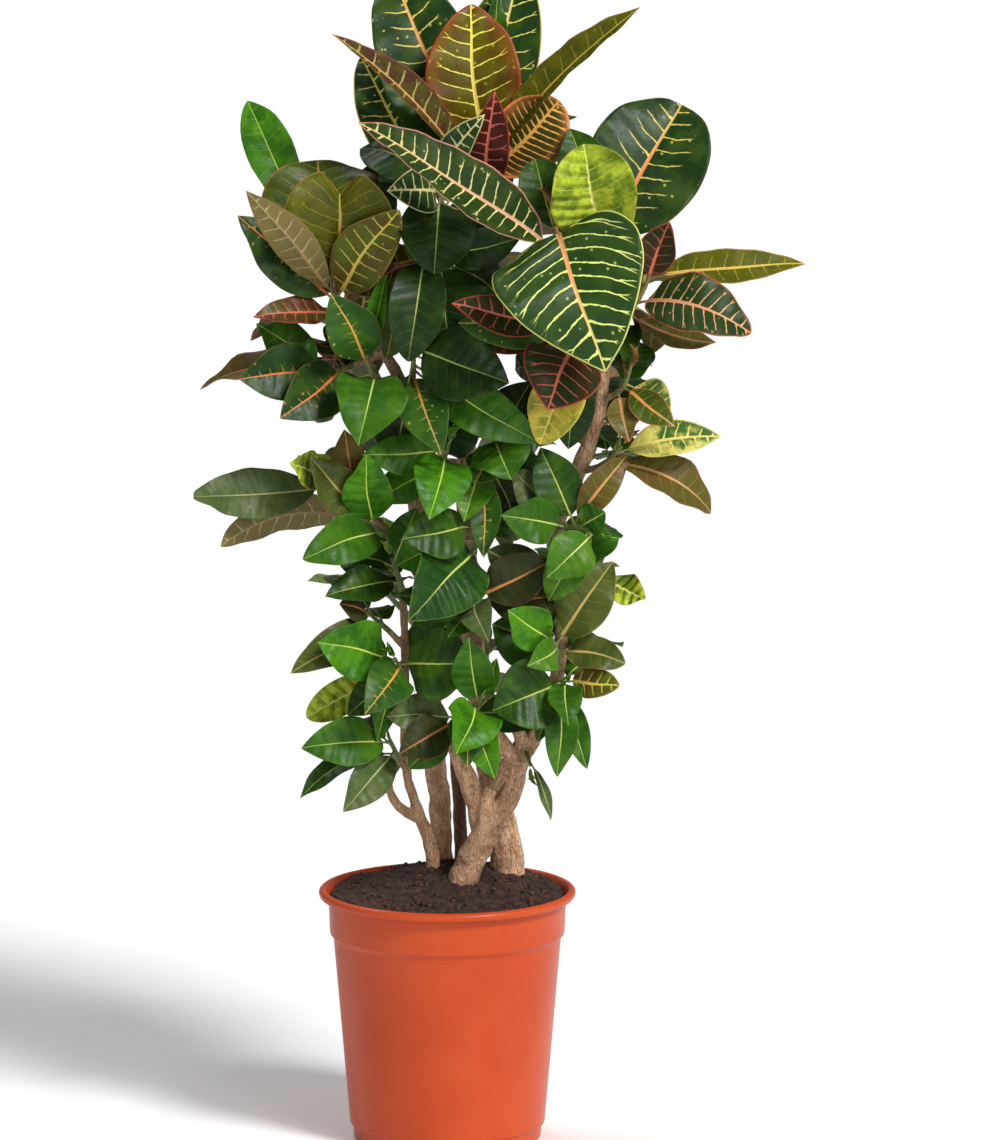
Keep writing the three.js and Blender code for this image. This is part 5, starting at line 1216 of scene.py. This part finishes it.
def make_wood(name, stem, material):
    """A stem with its stubs and twigs, blended into one skin with bark relief."""
    tubes = [(stem["path"], False)] + [(stub, True) for stub in stem["stubs"]]
    tubes += [(row["twig"], False) for row in SHOOTS.values() if row["wood"] == name and row["twig"]]
    shape = Shape()
    samples, cuts = [], []
    for seed, (rows, is_cut) in enumerate(tubes):
        centres, radii = wood_tube(rows, seed)
        shape.add(*tube(centres, radii, WOOD_SIDES))
        samples += list(zip(centres, radii))
        if is_cut:
            cuts.append((centres[-1], unit(centres[-1] - centres[-2]), radii[-1]))
    piece = shape.build("fine_" + name, [material])
    skin = piece.modifiers.new("skin", "REMESH")
    skin.mode = "VOXEL"
    skin.voxel_size = BARK_VOXEL * MM
    soften = piece.modifiers.new("soften", "SMOOTH")
    soften.factor = 0.5
    soften.iterations = 5
    apply_modifiers(piece)
    mesh = piece.data
    mesh.shade_smooth()
    count = len(mesh.vertices)
    points = np.zeros(count * 3)
    mesh.vertices.foreach_get("co", points)
    points = points.reshape(-1, 3) / MM
    normals = np.array([v.normal[:] for v in mesh.vertices])
    tree = search_tree([centre for centre, radius in samples])
    young, cut = np.zeros(count), np.zeros(count)
    for index, point in enumerate(points):
        radius = samples[tree.find(point)[1]][1]
        young[index] = min(1.0, max(0.0, (YOUNG_RADIUS - radius) / YOUNG_FADE))
        at = Vector(point)
        ridge = noise.noise(Vector((at.x * 0.20, at.y * 0.20, at.z * 0.055)))
        lump = noise.noise(at * 0.075)
        fine = noise.noise(Vector((at.x * 0.75, at.y * 0.75, at.z * 0.28)))
        relief = BARK_RIDGE * ridge + BARK_LUMP * lump + BARK_GRAIN * fine
        points[index] += normals[index] * min(1.0, radius / RELIEF_RADIUS) * relief
    for end, direction, radius in cuts:
        gap = points - end
        flat = gap @ direction
        aside = np.linalg.norm(gap - flat[:, None] * direction, axis=1)
        near = (flat > -CUT_DEPTH) & (aside < radius * CUT_SPREAD)
        proud = near & (flat > -CUT_INSET)
        cut[near] = 1.0
        points[proud] -= (flat[proud] + CUT_INSET)[:, None] * direction
    mesh.vertices.foreach_set("co", (points * MM).ravel())
    for key, values in (("young", young), ("cut", cut)):
        mesh.attributes.new(key, "FLOAT", "POINT").data.foreach_set("value", values)
    mesh.update()
    settle(piece, name)


# ---------------------------------------------------------------- leaves: where they are
def blade_half_width(along, form):
    """The half width of a blade of one of the forms, at a share of its length, for a full width of 1."""
    base, tip = BLADE_FORMS[form]
    widest = base / (base + tip)
    peak = widest ** base * (1 - widest) ** tip
    return 0.5 * along ** base * (1 - along) ** tip / peak


def twist_at(leaf, station):
    """How far a blade is turned about its midrib there, in radians."""
    most = TWIST * min(1, TWIST_WIDTH / leaf["width"])
    return most * math.sin(2 * leaf["phase"]) * (station - 0.4)


def twisted(across, out, angle):
    """The directions across a blade and out of its upper side, turned about its midrib."""
    side = across * math.cos(angle) + out * math.sin(angle)
    face = out * math.cos(angle) - across * math.sin(angle)
    return side, face


def listed_leaves(shoot, random):
    """The leaves that the front view shows."""
    leaves = []
    for along, across, up, depth, width, face, arch, fold, look_name, *form in shoot["leaves"]:
        leaves.append(dict(
            along=along, tip=(across, up, depth), width=width, face=face, arch=arch, fold=fold,
            form=form[0] if form else "oval", phase=FULL_TURN * next(random), fill=False, look=look_name))
    return leaves


def fill_leaves(shoot, random, looks):
    """A shoot's leaves on the sides that the front view doesn't show, turned by the golden angle."""
    count, start, end, length, width, low, high, face, group = shoot["fill"]
    leaves = []
    for i in range(count):
        along = (i + 0.5) / count
        share = (i * GOLDEN_TURN + GOLDEN_START) % 1
        turn = math.radians(start + (end - start) * share + TURN_SPREAD * (next(random) - 0.5))
        rise = math.radians(low + (high - low) * along + RISE_SPREAD * (next(random) - 0.5))
        size = 0.82 + 0.3 * next(random)
        reach = np.array([math.cos(turn) * math.cos(rise), math.sin(turn) * math.cos(rise), math.sin(rise)])
        palette = FILL_LOOKS[group]
        leaves.append(dict(
            along=along, reach=reach * length * size, width=width * size * (0.88 + 0.24 * next(random)),
            face=face, arch=0.08 + 0.1 * next(random), fold=0, form="oval", phase=FULL_TURN * next(random),
            fill=True, look=palette[int(next(looks) * len(palette))]))
    return leaves


def shoot_points(shoot):
    """The points of a green shoot's path, which starts a little off its wood."""
    points = [place(row) for row in shoot["path"]]
    points[0] = points[0] + seat_direction(shoot) * SEAT_GAP
    return points


def leaves_on(shoot, random, looks):
    """Every leaf of a shoot, with their roots spread evenly along it in the order of their places."""
    points = shoot_points(shoot)
    leaves = listed_leaves(shoot, random) + fill_leaves(shoot, random, looks)
    leaves.sort(key=lambda leaf: leaf["along"])
    for rank, leaf in enumerate(leaves):
        leaf["root"] = smooth_curve(points, lerp(FIRST_ROOT, LAST_ROOT, (rank + 0.5) / len(leaves)))
        if leaf["fill"]:
            x, y, z = leaf["root"] + leaf["reach"]
            leaf["tip"] = (x, z * math.cos(VIEW_RISE) + y * math.sin(VIEW_RISE), y)
    return leaves


def leaf_frame(leaf, bend):
    """A leaf's root, chord, upper side and the direction across it."""
    root = leaf["root"]
    chord = place(np.array(leaf["tip"], float) + bend) - root
    along = unit(chord)
    upper = np.array([0, -leaf["face"], 1 - abs(leaf["face"])])
    upper = unit(upper - along * upper.dot(along))
    return root, chord, upper, np.cross(along, upper)


def petiole_share(length):
    """The share of a leaf's length that its stalk takes."""
    return min(PETIOLE_LIMIT, (PETIOLE_LEAST + PETIOLE_SHARE * length) / length)


def midline(leaf, pose, share):
    """The middle of a leaf at a share of its length, and the direction that its upper side faces there."""
    root, chord, upper, _ = pose
    length = np.linalg.norm(chord)
    bow = 4 * leaf["arch"] * length
    middle = root + chord * share + upper * bow * share * (1 - share)
    tangent = unit(chord + upper * bow * (1 - 2 * max(share, petiole_share(length))))
    return middle, unit(upper - tangent * upper.dot(tangent))


def cad_corners(leaf, pose):
    """The corners of the leaf's solid in the part, from the petiole's end on."""
    length = np.linalg.norm(pose[1])
    petiole = petiole_share(length)
    stations = CAD_FILL_STATIONS
    if not leaf["fill"]:
        stations = next(places for least, places in CAD_STATIONS if leaf["width"] >= least)
    corners = []
    for station in (0, *stations, 1):
        middle, out = midline(leaf, pose, petiole + station * (1 - petiole))
        half = max(CAD_PETIOLE, leaf["width"] * blade_half_width(station, leaf["form"]))
        on_blade = half > CAD_PETIOLE
        side, out = twisted(pose[3], out, twist_at(leaf, station) if on_blade else 0)
        fold = leaf["fold"] if on_blade else 0
        wave = WAVE * leaf["width"] * math.sin(leaf["phase"] + 9 * station) if on_blade else 0
        flat, lift = half * math.cos(fold), half * math.sin(fold)
        row = [middle - side * flat + out * (lift + wave), middle + side * flat + out * (lift - wave)]
        if station == 1:
            row = [middle]
        for point in row:
            corners += [point + out * CAD_BLADE / 2, point - out * CAD_BLADE / 2]
    return corners


def bends():
    """The ways in which the part bends a leaf to clear its neighbours, the smallest first."""
    directions = [
        (0, 0, 1), (0, 0, -1), (0, 0.6, 0.6), (0, -0.6, 0.6), (0, 0.6, -0.6), (0, -0.6, -0.6), (0.6, 0, 0.6),
        (-0.6, 0, 0.6), (0.6, 0, -0.6), (-0.6, 0, -0.6), (0, 1, 0), (0, -1, 0), (1, 0, 0), (-1, 0, 0),
    ]
    steps = range(1, BEND_STEPS + 1)
    return [np.zeros(3)] + [np.array(way) * step * BEND_STEP for step in steps for way in directions]


def found_pose(leaf, tree):
    """The pose in which the part's solid holds the leaf, or nothing where the part has no room for it."""
    for bend in ALL_BENDS:
        pose = leaf_frame(leaf, bend)
        corners = cad_corners(leaf, pose)
        hits = sum(tree.find(corner)[2] < CAD_MATCH for corner in corners)
        if hits >= CAD_MATCHING_SHARE * len(corners):
            return pose
    return None


ALL_BENDS = bends()


# ---------------------------------------------------------------- leaves: their shape
# The columns of vertices across a blade, as shares of its half width. Those beside the middle follow the rib.
COLUMNS = (-1, -0.93, -0.8, -0.6, -0.36, -0.1, 0, 0.1, 0.36, 0.6, 0.8, 0.93, 1)
MIDDLE_COLUMN = COLUMNS.index(0)
OUTLINE_STEPS = 120


def outline_distance(x, y, form, width, length):
    """The distance in mm from each point of a flat blade to its outline."""
    steps = np.linspace(0, 1, OUTLINE_STEPS)
    outline_x = width * blade_half_width(steps, form)
    outline_y = steps * length
    gap_x = np.abs(x)[..., None] - outline_x
    gap_y = y[..., None] - outline_y
    return np.sqrt(gap_x ** 2 + gap_y ** 2).min(axis=-1)


def add_blade(shape, leaf, pose, tones, seed):
    """A blade with a grooved midrib above, a keel below, a wavy margin and a thin edge."""
    _, chord, _, across = pose
    length = np.linalg.norm(chord)
    petiole = petiole_share(length)
    width = leaf["width"]
    rows = next(rows for least, rows in BLADE_ROWS if width >= least)
    u = np.linspace(0, 1, rows + 1)
    stations = lerp(u, (1 - np.cos(math.pi * u)) / 2, 0.7)
    blade_length = length * (1 - petiole)
    thinnest = lerp(PETIOLE_RADIUS * 0.9, 0.12, stations)
    halves = np.maximum(width * blade_half_width(stations, leaf["form"]), thinnest)
    columns = len(COLUMNS)
    notched = (leaf["look"], leaf["form"]) == NOTCHED
    ruffle = lerp(*RUFFLES, seed) * (width / RUFFLE_WIDTH) ** 0.6 * tones["ruffle"]
    ripples = blade_length / lerp(*RIPPLE_LENGTHS, (seed * 7) % 1)
    curl = lerp(*CURLS, (seed * 13) % 1)
    droop = lerp(*DROOPS, (seed * 5) % 1) * length
    sway = lerp(*SWAYS, (seed * 17) % 1) * length
    top, below = np.zeros((rows + 1, columns, 3)), np.zeros((rows + 1, columns, 3))
    flat_x = np.zeros((rows + 1, columns))
    groove, keel = np.zeros(columns), np.zeros(columns)
    for i, (station, half) in enumerate(zip(stations, halves)):
        middle, out = midline(leaf, pose, petiole + station * (1 - petiole))
        rib = min(0.2, RIB_HALF_WIDTH * (1.15 - station) / half)
        v = np.array(COLUMNS)
        v[MIDDLE_COLUMN - 1], v[MIDDLE_COLUMN + 1] = -rib, rib
        fold = leaf["fold"]
        wave = WAVE * width * math.sin(leaf["phase"] + 9 * station)
        grow = min(1.0, half / (0.25 * width))
        side, face = twisted(across, out, twist_at(leaf, station) * grow)
        middle = middle + across * sway * math.sin(math.pi * station) ** 2
        ripple = FULL_TURN * ripples * station + np.where(v > 0, 2.3, 0.0) + leaf["phase"]
        frill = ruffle * grow * np.sin(ripple)
        lift = half * np.abs(v) ** 1.2 * math.sin(fold) - wave * v * grow + half * curl * v * v
        lift += frill * np.abs(v) ** 2.5 - droop * station ** 5
        flat = half * v * math.cos(fold)
        surface = middle + side * flat[:, None] + face * lift[:, None]
        if notched:
            late = max(0.0, (station - NOTCH_START) / (1 - NOTCH_START))
            pull = NOTCH_DEPTH * np.exp(-(flat / NOTCH_WIDTH) ** 2) * late
            surface -= unit(chord) * pull[:, None]
        thick = BLADE_THICKNESS / 2 * (1 - 0.75 * np.abs(v) ** 8) * min(1.0, 0.35 + half / 6)
        room = min(1.0, half / 5)
        groove[MIDDLE_COLUMN] = RIB_GROOVE * room
        keel[MIDDLE_COLUMN] = RIB_DEPTH * (1.05 - station) ** 0.8 * room * min(1.2, width / 60 + 0.4)
        top[i] = surface + face * (thick - groove)[:, None]
        below[i] = surface - face * (thick + keel)[:, None]
        flat_x[i] = half * v
    flat_y = np.repeat((stations * blade_length)[:, None], columns, axis=1)
    edge = outline_distance(flat_x, flat_y, leaf["form"], width, blade_length)
    edge[:, [0, -1]] = 0
    half_rows = np.repeat(halves[:, None], columns, axis=1)
    size = (rows + 1) * columns
    faces = grid_faces(rows + 1, columns, False) + grid_faces(rows + 1, columns, False, size, True)
    for i in range(rows):
        for j, outward in ((0, False), (columns - 1, True)):
            a, b = i * columns + j, (i + 1) * columns + j
            face = (a, b, b + size, a + size)
            faces.append(face[::-1] if outward else face)
    for j in range(columns - 1):
        faces.append((j, j + size, j + size + 1, j + 1))
        a = rows * columns + j
        faces.append((a, a + 1, a + 1 + size, a + size))
    flat_place = np.stack([flat_x, flat_y, edge], -1).reshape(-1, 3)
    blade = [half_rows, np.full_like(half_rows, blade_length), np.zeros_like(half_rows)]
    blade = np.stack(blade, -1).reshape(-1, 3)
    rib_width = tones["rib_width"] * lerp(0.7, 1.15, min(1, width / WIDE_BLADE))
    spacing = lerp(*VEIN_SPACINGS, min(1.0, blade_length / LONG_BLADE)) * tones["spacing"]
    values = dict(
        place=np.concatenate([flat_place, flat_place]), blade=np.concatenate([blade, blade + (0, 0, 1)]),
        widths=(tones["vein_share"], rib_width, tones["edge_width"]), pattern=(spacing, seed, tones["speck"]),
        finish=(tones["vein_width"], tones["vein_reach"], tones["relief"]), tone_stem=linear(tones["rib"]),
    )
    values.update({"tone_" + tone: linear(tones[tone]) for tone in TONES})
    shape.add(inside_box(np.concatenate([top.reshape(-1, 3), below.reshape(-1, 3)])), faces, 0, **values)


# The values of a blade on the vertices of stalks and stems, which have none.
NO_BLADE = dict(place=(0, 0, 0), blade=(1, 1, 0), widths=(0, 0, 0), pattern=(1, 0, 0), finish=(1, 0, 0.4))
NO_BLADE.update({"tone_" + tone: (0, 0, 0, 1) for tone in TONES})


def inside_box(points):
    """Points kept within the CAD part's box."""
    low, high = np.array(CAD_BOX) / MM
    return np.clip(points, low + BOX_GAP, high - BOX_GAP)


def add_petiole(shape, leaf, pose, rib_tone, tone):
    """The leaf's stalk, from inside the shoot to where it runs out in the keel under the blade."""
    length = np.linalg.norm(pose[1])
    petiole = petiole_share(length)
    size = 0.75 + 0.45 * min(1.0, leaf["width"] / WIDE_BLADE)
    centres, radii = [], []
    for share in (0, 0.25, 0.5, 0.75, 1.0):
        middle, out = midline(leaf, pose, petiole * share)
        centres.append(middle - out * 0.3)
        radii.append(PETIOLE_RADIUS * size * (1.35 - 0.45 * math.sin(math.pi * share * 0.5)))
    for share in (0.06, 0.14, 0.24):
        middle, out = midline(leaf, pose, petiole + share * (1 - petiole))
        centres.append(middle - out * 0.75)
        radii.append(PETIOLE_RADIUS * size * (0.85 - 2.4 * share))
    points, faces = tube(centres, radii, 10, pose[3])
    green = linear(tuple(lerp(a, b, 0.55) for a, b in zip(rib_tone, tone)))
    shape.add(inside_box(points), faces, 1, tone_stem=green, **NO_BLADE)


def add_green_stem(shape, shoot, radius, tone):
    """The shoot's stem, sunk into the wood that carries it, with the rings that old leaves left."""
    points = shoot_points(shoot)
    centres = [smooth_curve(points, k / SHOOT_STEPS) for k in range(SHOOT_STEPS + 1)]
    shares = np.linspace(0, 1, SHOOT_STEPS + 1)
    radii = np.interp(shares, [0, 0.5, 1], [radius, 0.8 * radius, 0.5 * radius])
    radii = radii * (1 + 0.07 * np.sin(shares * 55))
    centres.insert(0, centres[0] - seat_direction(shoot) * 3)
    radii = np.insert(radii, 0, radii[0] * 0.9)
    points, faces = tube(centres, radii, SHOOT_SIDES)
    shape.add(inside_box(points), faces, 1, tone_stem=linear(tone), **NO_BLADE)


def add_bud(shape, shoot, random, group):
    """Three young leaves, still rolled, round the end of the shoot."""
    points = shoot_points(shoot)
    end, before = smooth_curve(points, 1.0), smooth_curve(points, 0.9)
    direction = unit(end - before)
    aside = unit(np.cross(direction, (0.3, 1, 0.2)))
    other = np.cross(direction, aside)
    tones = LOOKS["fresh" if group == "lower" else "bronze_plain"]
    for k in range(3):
        turn = FULL_TURN * (k / 3 + 0.2 * next(random))
        reach = lerp(16, 30, next(random)) * (1.3 if group == "upper" else 1.0)
        lean = aside * math.cos(turn) + other * math.sin(turn)
        tip = end + direction * reach + lean * reach * 0.28
        bud_leaf = dict(width=reach * 0.34, arch=0.10, fold=0.75, phase=turn, form="oval", look="")
        chord = tip - end
        along = unit(chord)
        upper = -lean - along * along.dot(-lean)
        pose = (end - direction * 1.5, chord, unit(upper), np.cross(along, unit(upper)))
        add_blade(shape, bud_leaf, pose, tones, next(random))


def make_shoots():
    """Each shoot's green stem, bud and leaves, in the order of the table, which the draws follow."""
    looks = seeded_random(LOOK_SEED)
    blade = leaf_material()
    stem = green_stem_material()
    for index, (name, shoot) in enumerate(SHOOTS.items()):
        random = seeded_random(LEAF_SEED + SEED_STEP * index)
        group = shoot["fill"][8]
        tree = search_tree([vertex.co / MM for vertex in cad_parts[name].data.vertices])
        wood_end = (shoot["twig"] or STEMS[shoot["wood"]]["path"])[-1]
        shape = Shape()
        tone = STEM_TONES[group]
        add_green_stem(shape, shoot, wood_end[3], tone)
        add_bud(shape, shoot, looks, group)
        for leaf in leaves_on(shoot, random, looks):
            pose = found_pose(leaf, tree)
            seed = next(looks)
            if pose is None:
                print("no room for a leaf of", name)
                continue
            tones = LOOKS[leaf["look"]]
            add_blade(shape, leaf, pose, tones, seed)
            add_petiole(shape, leaf, pose, tones["rib"], tone)
        settle(shape.build("fine_" + name, [blade, stem]), name)


# ---------------------------------------------------------------- stage
def look_at(thing, target):
    """Turns a light or camera to face the target."""
    thing.rotation_euler = (Vector(target) - thing.location).to_track_quat("-Z", "Y").to_euler()


def add_sun(name, direction, strength, softness):
    """A soft sun that shines from the direction, (right, back, up)."""
    data = bpy.data.lights.new(name, "SUN")
    data.energy = strength
    data.angle = math.radians(softness)
    light = linked(name, data)
    light.location = Vector(direction) * SUN_DISTANCE
    look_at(light, (0, 0, 0))


def make_stage():
    """The floor, the studio's light and the camera."""
    shape = Shape()
    reach = FLOOR_REACH / MM
    corners = [(-reach, -reach, 0), (reach, -reach, 0), (reach, reach, 0), (-reach, reach, 0)]
    shape.add(corners, [(0, 1, 2, 3)])
    shape.build("floor", [floor_material()], smooth=False)
    world = bpy.data.worlds.new("studio")
    bpy.context.scene.world = world
    world.use_nodes = True
    sky = world.node_tree.nodes["Background"]
    sky.inputs["Color"].default_value = (1, 1, 1, 1)
    sky.inputs["Strength"].default_value = SKY_STRENGTH
    for name, sun in SUNS.items():
        add_sun(name, *sun)
    bpy.context.scene.view_settings.view_transform = "Standard"
    camera_data = bpy.data.cameras.new("camera")
    camera_data.sensor_fit = "AUTO"
    camera_data.sensor_width = SENSOR
    camera_data.lens = SENSOR * CAMERA_DISTANCE / FRAME_HEIGHT
    camera_data.clip_end = CLIP_END
    camera = linked("camera", camera_data)
    away = Vector((0, -math.cos(VIEW_RISE), math.sin(VIEW_RISE)))
    camera.location = Vector(CAMERA_AIM) + away * CAMERA_DISTANCE
    look_at(camera, CAMERA_AIM)
    bpy.context.scene.camera = camera


make_pot()
make_soil()
barks = {"bark": bark_material("bark", *BARK), "dark_bark": bark_material("dark_bark", *SHADED_BARK)}
for stem_name, stem in STEMS.items():
    # The stem behind the others takes the darker copy of the bark, which is painted shade.
    slot = "dark_bark" if stem_name == "stem_dark" else "bark"
    make_wood(stem_name, stem, barks[slot])
make_shoots()
make_stage()

bpy.context.view_layer.update()
